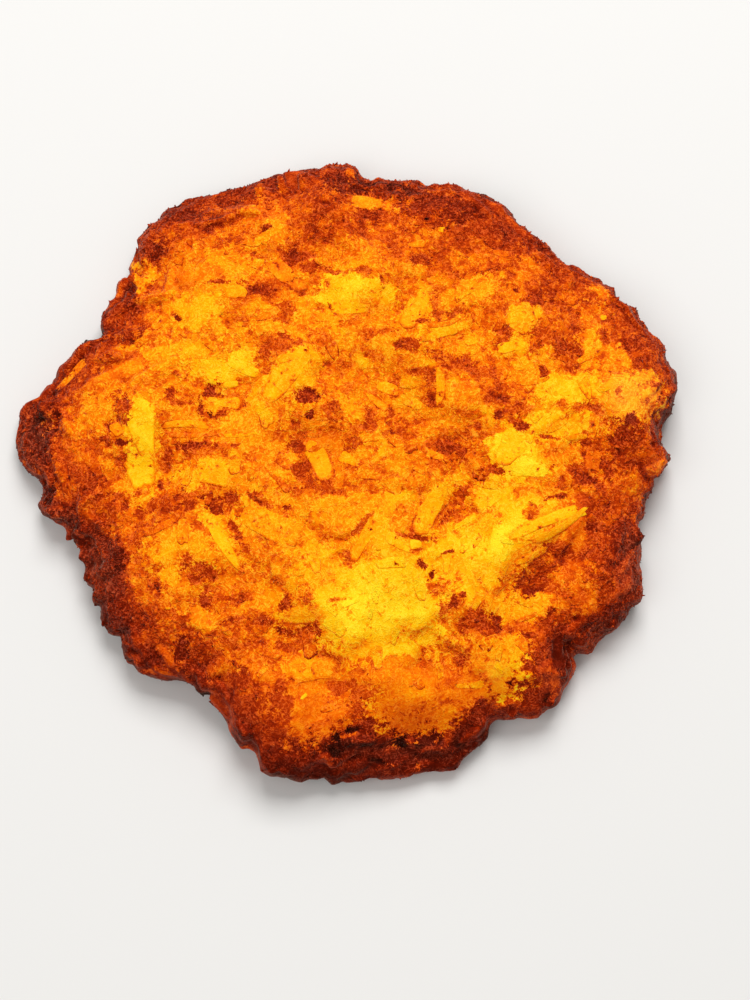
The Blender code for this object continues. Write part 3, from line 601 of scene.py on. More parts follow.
def smooth_core():
    """Copy of the CAD node, welded and rounded, that the visible body grows from."""
    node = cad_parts[NODE]
    core = bpy.data.objects.new("core", node.data.copy())
    bpy.context.scene.collection.objects.link(core)
    weld = core.modifiers.new("weld", "WELD")
    weld.merge_threshold = 0.00001
    rounding = core.modifiers.new("rounding", "SUBSURF")
    rounding.levels = 1
    rounding.render_levels = 1
    bake_modifiers(core)
    return core


class Form:
    """The core's surface: its height at a place, and its reach in a direction."""

    FAR = 80.0
    RIM_STEPS = 360
    RIM_HEIGHTS = (1.5, 2.5, 3.5, 4.5, 5.5, 6.5)

    def __init__(self, core):
        points = read_points(core.data)
        self.tree = BVHTree.FromPolygons([tuple(point) for point in points], read_faces(core.data))
        angles = np.arange(self.RIM_STEPS) * 2.0 * math.pi / self.RIM_STEPS
        reaches = [max(self.reach(angle, z) for z in self.RIM_HEIGHTS) for angle in angles]
        self.rim_angles = np.append(angles, 2.0 * math.pi)
        self.rim_reaches = np.append(reaches, reaches[0])

    def height(self, x, y):
        """Height of the top face above z = 0, or None beyond the rim."""
        hit = self.tree.ray_cast(Vector((x, y, self.FAR)), Vector((0.0, 0.0, -1.0)))[0]
        return hit.z if hit else None

    def reach(self, angle, z):
        """Distance of the wall from the middle in one direction, at one height."""
        outward = Vector((math.cos(angle), math.sin(angle), 0.0))
        hit = self.tree.ray_cast(outward * self.FAR + Vector((0.0, 0.0, z)), -outward)[0]
        return math.hypot(hit.x, hit.y) if hit else 0.0

    def rim(self, points):
        """Distance of the rim from the middle in each point's direction."""
        return np.interp(directions(points), self.rim_angles, self.rim_reaches)


# ---------------------------------------------------------------------------
# Strands of grated potato

def strand_rings(path, upward, width, thickness):
    """Rings of points round a path: a flat rounded bar with narrowed ends."""
    along = np.gradient(path, axis=0)
    along /= np.linalg.norm(along, axis=1)[:, None]
    side = np.cross(along, upward)
    side /= np.linalg.norm(side, axis=1)[:, None]
    lift = np.cross(side, along)
    place = np.linspace(-1.0, 1.0, len(path))
    taper = np.sqrt(np.clip(1.0 - np.abs(place) ** STRAND_BLUNTNESS, 0.06, 1.0))
    turn = (np.arange(STRAND_SIDES) + 0.5) * 2.0 * math.pi / STRAND_SIDES
    across = np.sign(np.cos(turn)) * np.abs(np.cos(turn)) ** STRAND_BOXINESS * 0.5
    up = np.sign(np.sin(turn)) * np.abs(np.sin(turn)) ** STRAND_BOXINESS * thickness * 0.5
    half = (taper * width)[:, None, None]
    rings = path[:, None, :] + half * side[:, None, :] * across[None, :, None]
    rings += taper[:, None, None] * lift[:, None, :] * up[None, :, None]
    return rings.reshape(-1, 3)


def strand_faces(first, rings):
    """Faces of one strand whose points start at the given number."""
    sides = STRAND_SIDES
    faces = []
    for ring in range(rings - 1):
        low = first + ring * sides
        for side in range(sides):
            beside = (side + 1) % sides
            faces.append((low + side, low + beside, low + sides + beside, low + sides + side))
    faces.append(tuple(first + side for side in reversed(range(sides))))
    last = first + (rings - 1) * sides
    faces.append(tuple(last + side for side in range(sides)))
    return faces


def top_path(form, x, y, length, turn, bend):
    """Path of a strand that lies on the top face, or None where it would leave it."""
    place = np.linspace(-0.5, 0.5, STRAND_RINGS)
    heading = turn + bend * place
    step = length / (STRAND_RINGS - 1)
    path_x = np.concatenate([[0.0], np.cumsum(np.cos(heading[:-1]) * step)])
    path_y = np.concatenate([[0.0], np.cumsum(np.sin(heading[:-1]) * step)])
    path_x += x - path_x.mean()
    path_y += y - path_y.mean()
    heights = [form.height(px, py) for px, py in zip(path_x, path_y)]
    if None in heights or min(heights) < TOP_STRAND_LOWEST:
        return None
    heights = np.array(heights)
    return np.stack([path_x, path_y, 0.6 * heights + 0.4 * heights.mean()], axis=1)


def top_strands(form):
    """Strands pressed into the top face: points of the rings of each."""
    random = np.random.default_rng(STRAND_SEED)
    strands = []
    while len(strands) < TOP_STRANDS:
        angle = random.uniform(0.0, 2.0 * math.pi)
        radius = TOP_STRAND_REACH * math.sqrt(random.uniform(0.0, 1.0))
        length = random.uniform(*TOP_STRAND_LENGTH)
        turn = random.uniform(0.0, math.pi)
        bend = random.uniform(*TOP_STRAND_BEND)
        width = random.uniform(*TOP_STRAND_WIDTH)
        thickness = random.uniform(*TOP_STRAND_THICKNESS)
        proud = random.uniform(*TOP_STRAND_PROUD)
        path = top_path(form, radius * math.cos(angle), radius * math.sin(angle), length, turn, bend)
        if path is None:
            continue
        path[:, 2] += proud - 0.5 * thickness
        if nearest_reach(path, EVEN_GROUND) < EVEN_GROUND_CORE:
            path[:, 2] -= EVEN_GROUND_SINK
        strands.append(strand_rings(path, UP, width, thickness))
    return strands


def wall_strands(form):
    """Strands that show along the side wall, some with an end standing out."""
    random = np.random.default_rng(STRAND_SEED + 1)
    strands = []
    for _ in range(WALL_STRANDS):
        angle = random.uniform(0.0, 2.0 * math.pi)
        middle = random.uniform(*WALL_STRAND_MIDDLE)
        length = random.uniform(*WALL_STRAND_LENGTH)
        slant = random.normal(0.0, WALL_STRAND_SLANT)
        width = random.uniform(*WALL_STRAND_WIDTH)
        thickness = random.uniform(*WALL_STRAND_THICKNESS)
        proud = random.uniform(*WALL_STRAND_PROUD)
        swing = random.uniform(*WALL_STRAND_SWING)
        place = np.linspace(-0.5, 0.5, STRAND_RINGS)
        rim = np.interp(angle, form.rim_angles, form.rim_reaches)
        angles = angle + place * length * math.cos(slant) / rim
        heights = np.clip(middle + place * length * math.sin(slant), 1.0, 9.0)
        reaches = np.array([form.reach(a, z) for a, z in zip(angles, heights)])
        if reaches.min() < WALL_STRAND_LEAST_REACH:
            continue
        reaches = 0.6 * reaches + 0.4 * reaches.mean() + proud - 0.5 * thickness + swing * place
        path = np.stack([reaches * np.cos(angles), reaches * np.sin(angles), heights], axis=1)
        if nearest_reach(path, EVEN_GROUND) < 1.0:
            path[:, :2] *= 1.0 - EVEN_GROUND_DRAW / rim
        outward = np.array([math.cos(angle), math.sin(angle), 0.15])
        strands.append(strand_rings(path, outward, width, thickness))
    return strands


def nub_strands():
    """Short bits that stand out from the side."""
    strands = []
    for x, y, z, length, width in NUBS:
        outward = np.array([x, y, 0.0]) / math.hypot(x, y)
        place = np.linspace(-1.0, 0.0, STRAND_RINGS) * length
        path = np.array([x, y, z]) + place[:, None] * outward
        strands.append(strand_rings(path, UP, width, 0.8 * width))
    return strands


def join_strands(strands):
    """One set of points and faces for all strands, and the strand that each face belongs to."""
    points = np.concatenate(strands)
    faces = []
    owners = []
    first = 0
    for number, strand in enumerate(strands):
        made = strand_faces(first, len(strand) // STRAND_SIDES)
        faces += made
        owners += [number] * len(made)
        first += len(strand)
    return points, faces, np.array(owners)


# ---------------------------------------------------------------------------
# Colour and relief at each point of the skin

def mark_reach(points, bend, mark):
    """How far out each point lies in a mark or flake: 0 at its middle, 1 on its outline.

    The bend makes outlines ragged, and small marks are bent less.
    """
    raggedness = min(1.0, 0.25 * math.sqrt(mark.length * mark.width))
    east = points[:, 0] + raggedness * bend[:, 0] - mark.x
    north = points[:, 1] + raggedness * bend[:, 1] - mark.y
    cos_turn = math.cos(math.radians(mark.turn))
    sin_turn = math.sin(math.radians(mark.turn))
    along = np.abs(east * cos_turn + north * sin_turn) / (0.5 * mark.length)
    across = np.abs(north * cos_turn - east * sin_turn) / (0.5 * mark.width)
    return (along ** MARK_POWER + across ** MARK_POWER) ** (1.0 / MARK_POWER)


def nearest_reach(path, mark):
    """How near a path comes to a mark's middle: under 1 where it enters the mark."""
    return mark_reach(path, np.zeros_like(path), mark).min()


def mark_share(reach, soft):
    """Share of a mark: 1 inside, 0 outside, eased over its soft edge."""
    return 1.0 - smoothstep(1.0 - soft, 1.0 + 0.6 * soft, reach)


def patch_depth(reach, mark):
    """How deep inside a patch each point lies: 0.5 on its outline, 0 well outside."""
    narrow = min(mark.length, mark.width)
    edge = min(0.3 + 4.0 * mark.soft * mark.soft, 0.45 * narrow)
    deepest = 0.80 + 0.3 / narrow
    return np.clip(0.5 + 0.25 * (1.0 - reach) * narrow / edge, 0.0, deepest)


def rim_tone(points, inward):
    """Tone from the browning that runs in from the rim."""
    angles = [math.radians(angle) for angle, _, _ in RIM_BROWNING]
    edges = [edge for _, edge, _ in RIM_BROWNING]
    widths = [width for _, _, width in RIM_BROWNING]
    where = directions(points)
    edge = np.interp(where, angles, edges, period=2.0 * math.pi)
    width = np.interp(where, angles, widths, period=2.0 * math.pi)
    return edge + (MIDDLE_TONE - edge) * smoothstep(0.0, 1.0, inward / width)


def outline_push(points, inward):
    """Outward push of points near the rim that gives the outline its small lobes and notches."""
    where = np.degrees(directions(points))
    push = np.zeros(len(points))
    for direction, width, amount in OUTLINE_STEPS:
        away = np.abs(np.mod(where - direction + 180.0, 360.0) - 180.0) / width
        push += amount * (1.0 - smoothstep(0.3, 1.2, away))
    return push * (1.0 - smoothstep(0.5, 4.5, inward))


class Skin:
    """Tone, browned patches, grain and lift of every point of the body."""

    def __init__(self, points, normals, form, strands):
        self.points = points
        self.upward = smoothstep(0.15, 0.6, normals[:, 2])
        self.facing_up = smoothstep(-0.1, 0.2, normals[:, 2])
        self.under = smoothstep(0.3, 0.8, -normals[:, 2]) * (1.0 - smoothstep(1.5, 3.0, points[:, 2]))
        self.bend = 1.1 * wander(points, 4.0) + 0.6 * wander(points, 1.4, 1)
        self.bend += 0.35 * wander(points, 0.7, 2)
        self.inward = form.rim(points) - np.hypot(points[:, 0], points[:, 1])
        self.tone = rim_tone(points, np.maximum(self.inward + 1.2 * lumps(points, 5.0, 3, 1), 0.0))
        for mark in FIELDS:
            share = mark_share(mark_reach(points, self.bend, mark), mark.soft) * self.upward
            self.tone += share * (mark.tone - self.tone)
        self.even_tone = self.tone.copy()
        self.grain = np.full(len(points), 0.9)
        self.lift = np.zeros(len(points))
        self.mottle()
        self.shade_sides()
        self.follow_strands(strands)
        self.dry_crust_and_sheen()
        self.light, self.light_tone = np.zeros(len(points)), self.tone.copy()
        self.patch, self.patch_tone = np.zeros(len(points)), self.tone.copy()
        for mark in GLOWS:
            self.light = self.lay(mark, self.upward, self.light, self.light_tone, 0.6, 1.0)
        for mark in BROWNS:
            grain = min(1.0, max(0.2, 5.0 * mark.tone - 1.3))
            self.patch = self.lay(mark, self.upward, self.patch, self.patch_tone, grain, 0.5)
        for mark in RIM_MARKS:
            self.patch = self.lay(mark, self.facing_up, self.patch, self.patch_tone, 1.0, 0.8)
        self.grain *= 1.0 - 0.5 * smoothstep(27.0, 34.0, -points[:, 1])
        self.gap_and_shadow_round_flakes()

    def lay(self, mark, where, depth, tones, grain, height):
        """Lay one patch: its depth and tone, which the material mixes in with a ragged edge."""
        reach = mark_reach(self.points, self.bend, mark)
        inside = patch_depth(reach, mark) * where
        tone = mark.tone + 0.5 * (self.tone - self.even_tone)
        whole = smoothstep(0.0, 0.4, inside)
        eased = mark_share(reach, mark.soft) * where
        share = whole + smoothstep(0.4, 0.8, depth) * (eased - whole)
        tones += share * (tone - tones)
        self.grain += smoothstep(0.3, 0.7, inside) * (grain - self.grain)
        self.lift += mark_share(reach, 0.5 * mark.soft) * where * mark.lift * height
        return np.maximum(depth, inside)

    def seen_tone(self):
        """Tone with the light and the browned patches in it."""
        lit = self.tone + smoothstep(0.15, 0.85, self.light) * (self.light_tone - self.tone)
        return lit + smoothstep(0.22, 0.78, self.patch) * (self.patch_tone - lit)

    def mottle(self):
        """Uneven browning of the crust between the marks."""
        self.tone += 0.04 * lumps(self.points, 9.0, 3, 2) + 0.08 * lumps(self.points, 3.0, 4, 3)

    def follow_strands(self, strands):
        """Give each strand its own tone and smoothness, with painted shade in the crevices between strands.
        """
        points, faces, owners = strands
        tree = BVHTree.FromPolygons([tuple(point) for point in points], faces)
        random = np.random.default_rng(STRAND_SEED + 2)
        tones = random.normal(0.0, 0.05, owners.max() + 1)
        grains = np.where(random.uniform(size=owners.max() + 1) < 0.12, -0.5, 0.0)
        for index, point in enumerate(self.points):
            _, _, face, distance = tree.find_nearest(Vector(point), 0.6)
            if face is None:
                continue
            owner = owners[face]
            share = 1.0 - min(distance / 0.4, 1.0)
            between = max(0.0, 1.0 - abs(distance - 0.42) / 0.18)
            sideways = 1.0 - self.upward[index]
            # painted shade between strands, deeper on the wall
            self.tone[index] += share * tones[owner] * (1.0 + sideways) - (0.06 + 0.03 * sideways) * between
            self.grain[index] += share * grains[owner]

    def dry_crust_and_sheen(self):
        """How dry and pale the crust is, and how much painted sheen it takes: more so on the wall and in
        the pale marks.
        """
        self.dry_and_sheen = WALL_DRYNESS_AND_SHEEN * (1.0 - self.upward)
        for mark in PALE_MARKS:
            share = mark_share(mark_reach(self.points, self.bend, mark), mark.soft)
            self.dry_and_sheen = np.maximum(self.dry_and_sheen, share * mark.tone)

    def gap_and_shadow_round_flakes(self):
        """Dark gap round each listed flake, with painted shadow that makes it deepest on the side turned to
        -Y, away from the key light.
        """
        for flake in FLAKES:
            reach = mark_reach(self.points, 0.15 * self.bend, flake)
            gap = smoothstep(0.9, 1.0, reach) * (1.0 - smoothstep(1.05, 1.35, reach))
            shadow_side = smoothstep(-0.5, 1.0, (flake.y - self.points[:, 1]) / (0.5 * flake.width + 0.5))
            for tones in (self.tone, self.light_tone):
                # painted shadow, mostly on the -Y side
                tones -= gap * (0.02 + 0.14 * shadow_side) * min(flake.proud / 0.12, 1.2)

    def shade_sides(self):
        """Browned wall and underside; the wall's tone is darkened further as painted shade."""
        patches = lumps(self.points, 3.0, 4, 5)
        wall = (1.0 - self.upward) * (1.0 - self.under)
        # browned wall, with painted shade in its tone
        self.tone += wall * (WALL_TONE + 0.10 * patches - self.tone) * 0.8
        base = BASE_TONE + 0.22 * patches + 0.1 * lumps(self.points, 9.0, 2, 6)
        base -= 0.25 * (1.0 - smoothstep(0.0, 9.0, self.inward))
        self.tone += self.under * (base - self.tone)


# ---------------------------------------------------------------------------
# The body

def fused_skin(core, strands):
    """Core and strands fused into one closed skin with an even fine mesh, coarser on the base."""
    core_points = read_points(core.data)
    strand_points, strand_polygons, _ = strands
    shift = len(core_points)
    faces = read_faces(core.data)
    faces += [tuple(index + shift for index in face) for face in strand_polygons]
    body = new_object("rosti_body", np.concatenate([core_points, strand_points]), faces)
    fuse = body.modifiers.new("fuse", "REMESH")
    fuse.mode = "VOXEL"
    fuse.voxel_size = SKIN_GRID * MM
    bake_modifiers(body)
    flat = np.flatnonzero(read_points(body.data)[:, 2] < BASE_BELOW)
    base = body.vertex_groups.new(name="base")
    base.add([int(index) for index in flat], 1.0, "REPLACE")
    thin = body.modifiers.new("thin", "DECIMATE")
    thin.vertex_group = "base"
    thin.ratio = BODY_TRIANGLES / sum(len(face.vertices) - 2 for face in body.data.polygons)
    bake_modifiers(body)
    body.vertex_groups.clear()
    return body


def relief(skin, seen):
    """Push of each point along its normal, from lumps, bumps and pits, and how much of a pit it is."""
    points = skin.points
    rugged = skin.grain * (1.0 - 0.6 * smoothstep(0.6, 0.85, seen))
    push = 0.16 * lumps(points, 3.2, 2, 10)
    for height, size, seed in PEBBLES:
        push += height * rugged * (pebbles(points, size, seed) - 0.5)
    push += (1.0 - skin.upward) * (0.3 * lumps(points, 2.4, 3, 12))
    pits = smoothstep(0.42, 0.7, lumps(points, 1.5, 2, 13)) * skin.grain
    push -= PIT_DEPTH * pits
    return np.where(skin.under > 0.5, np.minimum(push, 0.0) * 0.6, push), pits


def smooth_bare(moved, edges, skin, seen):
    """Even out the skin where bare potato shows and on the even ground, and keep it in the CAD box."""
    bare = 0.75 * smoothstep(0.70, 0.88, seen) * skin.upward
    reach = mark_reach(skin.points, skin.bend, EVEN_GROUND)
    bare = np.maximum(bare, 0.95 * (mark_share(reach, EVEN_GROUND.soft) * skin.facing_up))
    moved[:, 2] += bare * (averaged(moved[:, 2], edges, BARE_ROUNDS) - moved[:, 2])
    moved[:, 2] = under_lid(np.maximum(moved[:, 2], 0.0), TOP - SKIN_BELOW_TOP)


def painted_relief_shade(mesh, moved, normals, edges, pits, seen):
    """Painted shade: how much darker the tone is made in hollows and pits, on slopes and on what faces -Y,
    away from the key light.
    """
    even = np.stack([averaged(moved[:, axis], edges, HOLLOW_ROUNDS) for axis in range(3)], axis=1)
    hollow = np.sum((even - moved) * normals, axis=1)
    facing = read_normals(mesh)
    slope = 1.0 - averaged(facing[:, 2], edges, SLOPE_ROUNDS)
    shadow_side = -averaged(facing[:, 1], edges, SLOPE_ROUNDS)
    # painted shade in hollows and pits
    shade = 0.05 * pits + 0.5 * np.clip(hollow, -0.06, 0.15)
    darker = (0.3 + 0.7 * smoothstep(0.2, 0.6, seen)) * shade
    # painted shade on slopes, and on what faces -Y, away from the key light
    darker += 0.12 * smoothstep(0.03, 0.25, slope) * smoothstep(0.68, 0.85, seen)
    darker += 0.14 * smoothstep(0.04, 0.40, shadow_side) * smoothstep(0.60, 0.85, seen)
    return darker


def roughen(body, form, strands):
    """Give the body its relief, store what its material reads, and return the tone that shows."""
    mesh = body.data
    points = read_points(mesh)
    normals = read_normals(mesh)
    edges = read_edges(mesh)
    skin = Skin(points, normals, form, strands)
    seen = skin.seen_tone()
    push, pits = relief(skin, seen)
    outward = points * (1.0, 1.0, 0.0) / np.hypot(points[:, 0], points[:, 1])[:, None]
    moved = points + normals * push[:, None] + outward * outline_push(points, skin.inward)[:, None]
    moved[:, 2] += skin.lift * skin.facing_up
    smooth_bare(moved, edges, skin, seen)
    write_points(mesh, moved)
    # painted shade, taken off every stored tone
    darker = painted_relief_shade(mesh, moved, normals, edges, pits, seen)
    write_value(mesh, "tone", skin.tone - darker)
    write_value(mesh, "light", skin.light)
    write_value(mesh, "light_tone", skin.light_tone - darker)
    write_value(mesh, "patch", skin.patch)
    write_value(mesh, "patch_tone", skin.patch_tone - darker)
    write_value(mesh, "grain", skin.grain)
    write_value(mesh, "dry_and_sheen", skin.dry_and_sheen)
    mesh.shade_smooth()
    return seen - darker


# ---------------------------------------------------------------------------
# Flakes and crumbs

class Ground:
    """The finished body's top face: its height at a place, and the tone nearest to it."""

    def __init__(self, body, tone):
        points = read_points(body.data)
        self.faces = BVHTree.FromPolygons([tuple(point) for point in points], read_faces(body.data))
        self.tone = tone
        self.tree = KDTree(len(points))
        for index, point in enumerate(points):
            self.tree.insert(Vector(point), index)
        self.tree.balance()

    def height(self, x, y):
        """Height of the body above a place, or None beyond its rim."""
        hit = self.faces.ray_cast(Vector((x, y, Form.FAR)), Vector((0.0, 0.0, -1.0)))[0]
        return hit.z if hit else None

    def tones(self, points):
        """Tones of the skin nearest to some points."""
        return np.array([self.tone[self.tree.find(Vector(point))[1]] for point in points])


def flake_outline(length, width, random):
    """Outline of a flake round its middle: a blunt oval, uneven and a little bent."""
    turn = (np.arange(FLAKE_SPOKES) + 0.5) * 2.0 * math.pi / FLAKE_SPOKES
    blunt = random.uniform(2.8, 6.0)
    reach = (np.abs(np.cos(turn)) ** blunt + np.abs(np.sin(turn)) ** blunt) ** (-1.0 / blunt)
    ring = np.stack([2.0 * np.cos(turn), 2.0 * np.sin(turn), np.zeros(FLAKE_SPOKES)], axis=1)
    place = ring + random.uniform(0.0, 50.0, 3)
    reach *= 1.0 + 0.20 * lumps(place, 2.6, 2) + 0.14 * lumps(place, 0.7, 2)
    along = 0.5 * length * reach * np.cos(turn)
    taper = 1.0 + random.uniform(-0.4, 0.4) * 2.0 * along / length
    bend = random.uniform(-0.06, 0.06) * length
    across = 0.5 * width * reach * np.sin(turn) * taper + bend * (2.0 * along / length) ** 2
    return along, across


def make_flake(ground, x, y, length, width, turn, proud, random):
    """Points of one flake draped on the body, ring by ring, or None off the top face."""
    along, across = flake_outline(length, width, random)
    outline_x = along * math.cos(turn) - across * math.sin(turn)
    outline_y = along * math.sin(turn) + across * math.cos(turn)
    shares = np.array(FLAKE_RINGS)[:, None]
    flat_x = (x + shares * outline_x).ravel()
    flat_y = (y + shares * outline_y).ravel()
    heights = [ground.height(px, py) for px, py in zip(flat_x, flat_y)]
    if None in heights or min(heights) < FLAKE_LOWEST:
        return None
    heights = np.array(heights)
    east, north = flat_x - x, flat_y - y
    # the evenest curved sheet through the heights under the flake
    squares = (east * east, east * north, north * north)
    terms = np.stack([np.ones_like(east), east, north, *squares], axis=1)
    even = terms @ np.linalg.lstsq(terms, heights, rcond=None)[0]
    out = np.repeat(shares.ravel(), FLAKE_SPOKES)
    top = 0.6 * even + 0.4 * heights + proud * (1.0 - 0.6 * out ** 4)
    top = np.where(out > 1.0, np.minimum(heights, top) - 0.4, top)
    top = np.minimum(top, TOP - FLAKE_BELOW_TOP)
    return np.stack([flat_x, flat_y, top], axis=1)


def flake_faces(first):
    """Faces of one flake whose points start at the given number: top, edge and a hidden bottom."""
    faces = []
    for ring in range(len(FLAKE_RINGS) - 1):
        low = first + ring * FLAKE_SPOKES
        for spoke in range(FLAKE_SPOKES):
            beside = (spoke + 1) % FLAKE_SPOKES
            outer = low + FLAKE_SPOKES
            faces.append((low + spoke, outer + spoke, outer + beside, low + beside))
    last = first + (len(FLAKE_RINGS) - 1) * FLAKE_SPOKES
    faces.append(tuple(last + spoke for spoke in reversed(range(FLAKE_SPOKES))))
    return faces


def flake_shading(points, tone):
    """Tone over a flake: streaked, with painted shade towards its edge and on its sunk skirt, most on the
    side turned to -Y, away from the key light.
    """
    middle = points[:FLAKE_SPOKES].mean(axis=0)
    away = points - middle
    away /= np.maximum(np.linalg.norm(away, axis=1), 0.01)[:, None]
    out = np.repeat(FLAKE_RINGS, FLAKE_SPOKES)
    streaks = 0.06 * lumps(points, 1.6, 3, 20) + 0.04 * lumps(points, 0.6, 2, 21)
    shadow_side = smoothstep(-0.3, 1.0, -away[:, 1])
    # painted shade at the edge and on the skirt
    edge = smoothstep(0.80, 1.0, out) * (0.02 + 0.20 * shadow_side)
    edge += (out > 1.0) * (0.05 + 0.20 * shadow_side)
    return tone + streaks - edge


def listed_flakes(ground, random):
    """Flakes from the list: points, tones and grains of each."""
    for flake in FLAKES:
        turn = math.radians(flake.turn)
        points = make_flake(ground, flake.x, flake.y, flake.length, flake.width, turn, flake.proud, random)
        if points is not None:
            yield points, flake_shading(points, flake.tone), np.full(len(points), flake.grain)


def strewn_flakes(ground, random):
    """Flakes strewn over the top face, each a little lighter or darker than the skin round it."""
    taken = [(flake.x, flake.y, 0.4 * flake.length) for flake in FLAKES]
    made = 0
    while made < PIECES:
        angle = random.uniform(0.0, 2.0 * math.pi)
        radius = PIECE_REACH * math.sqrt(random.uniform(0.0, 1.0))
        x, y = radius * math.cos(angle), radius * math.sin(angle)
        length = float(np.clip(random.lognormal(1.35, 0.40), *PIECE_LENGTH))
        width = min(length * random.uniform(0.2, 0.5), PIECE_WIDEST)
        turn = random.uniform(0.0, math.pi)
        proud = random.uniform(-0.02, 0.13)
        step = random.normal(0.02, 0.03)
        grain = random.uniform(0.5, 1.0)
        room = 0.3 * length
        if any(math.hypot(x - taken_x, y - taken_y) < size + room for taken_x, taken_y, size in taken):
            continue
        points = make_flake(ground, x, y, length, width, turn, proud, random)
        if points is None or np.ptp(points[:, 2]) > STEEPEST:
            continue
        tones = ground.tones(points[:: FLAKE_SPOKES // 4])
        if tones.std() > MOST_UNEVEN_TONE:
            continue
        taken.append((x, y, 0.4 * length))
        made += 1
        yield points, flake_shading(points, tones.mean() + step), np.full(len(points), grain)


def make_flakes(ground):
    """All flakes of potato that lie in the top face, as one piece."""
    random = np.random.default_rng(PIECE_SEED)
    made = list(listed_flakes(ground, random)) + list(strewn_flakes(ground, random))
    faces = []
    for number in range(len(made)):
        faces += flake_faces(number * len(FLAKE_RINGS) * FLAKE_SPOKES)
    flakes = new_object("potato_flakes", np.concatenate([points for points, _, _ in made]), faces)
    write_value(flakes.data, "tone", np.concatenate([tones for _, tones, _ in made]))
    write_value(flakes.data, "grain", np.concatenate([grains for _, _, grains in made]))
    flakes.data.shade_smooth()
    return flakes


def crumb_sites(random, mesh, points, normals, body_tone):
    """Points of the skin that get a crumb, more of them where it is rough and browned."""
    grain = np.empty(len(points))
    mesh.attributes["grain"].data.foreach_get("value", grain)
    likely = np.clip(grain, 0.05, 1.0) ** 2 * (normals[:, 2] > -0.5) * (points[:, 2] > 0.6)
    likely *= 1.0 - 0.95 * smoothstep(0.55, 0.72, body_tone)
    likely *= 0.4 + 0.6 * smoothstep(0.3, 0.7, normals[:, 2])
    likely[points[:, 2] > TOP - CRUMB_BELOW_TOP] = 0.0
    return random.choice(len(points), CRUMBS, replace=False, p=likely / likely.sum())


def round_lump():
    """Points and triangles of a plain round lump with a radius of 1."""
    lump = bmesh.new()
    bmesh.ops.create_icosphere(lump, subdivisions=1, radius=1.0)
    unit = np.array([vertex.co for vertex in lump.verts])
    sides = np.array([[vertex.index for vertex in face.verts] for face in lump.faces])
    lump.free()
    return unit, sides


def crumb_shapes(random, unit, upward):
    """An uneven lump round each crumb's middle, stretched and turned by chance, and its size."""
    size = random.lognormal(math.log(CRUMB_SIZE), 0.35, CRUMBS)
    size = np.clip(size, *CRUMB_SIZES) * (0.7 + 0.3 * smoothstep(0.2, 0.6, upward))
    long_side = random.uniform(0.9, 2.1, (CRUMBS, 1))
    short_side = random.uniform(0.5, 1.0, (CRUMBS, 1))
    jitter = 1.0 + random.uniform(-0.3, 0.3, (CRUMBS, len(unit)))
    turn = random.uniform(0.0, math.pi, (CRUMBS, 1))
    along = unit[:, 0] * long_side * jitter
    across = unit[:, 1] * short_side * jitter
    shapes = np.stack([
        along * np.cos(turn) - across * np.sin(turn),
        along * np.sin(turn) + across * np.cos(turn),
        unit[:, 2] * short_side * jitter,
    ], axis=2)
    return shapes * size[:, None, None], size


def make_crumbs(body, body_tone):
    """Crumbs of crust, each a small uneven lump sunk in the skin, with painted shade on its lower side."""
    random = np.random.default_rng(CRUMB_SEED)
    body_points = read_points(body.data)
    normals = read_normals(body.data)
    sites = crumb_sites(random, body.data, body_points, normals, body_tone)
    unit, sides = round_lump()
    shapes, size = crumb_shapes(random, unit, normals[sites, 2])
    centres = body_points[sites] - normals[sites] * (0.25 * size)[:, None]
    points = (centres[:, None, :] + shapes).reshape(-1, 3)
    points[:, 2] = np.clip(points[:, 2], 0.05, TOP)
    faces = (sides[None] + len(unit) * np.arange(CRUMBS)[:, None, None]).reshape(-1, 3)
    crumbs = new_object("crust_crumbs", points, [tuple(int(i) for i in face) for face in faces])
    # painted shade: each crumb's tone is lower towards its underside
    tone = (body_tone[sites] + random.normal(0.03, 0.05, CRUMBS))[:, None] - 0.10 * (1.0 - unit[:, 2])
    write_value(crumbs.data, "tone", tone.ravel())
    write_value(crumbs.data, "grain", np.full(len(points), 0.4))
    crumbs.data.shade_smooth()
    return crumbs


# ---------------------------------------------------------------------------
# Material

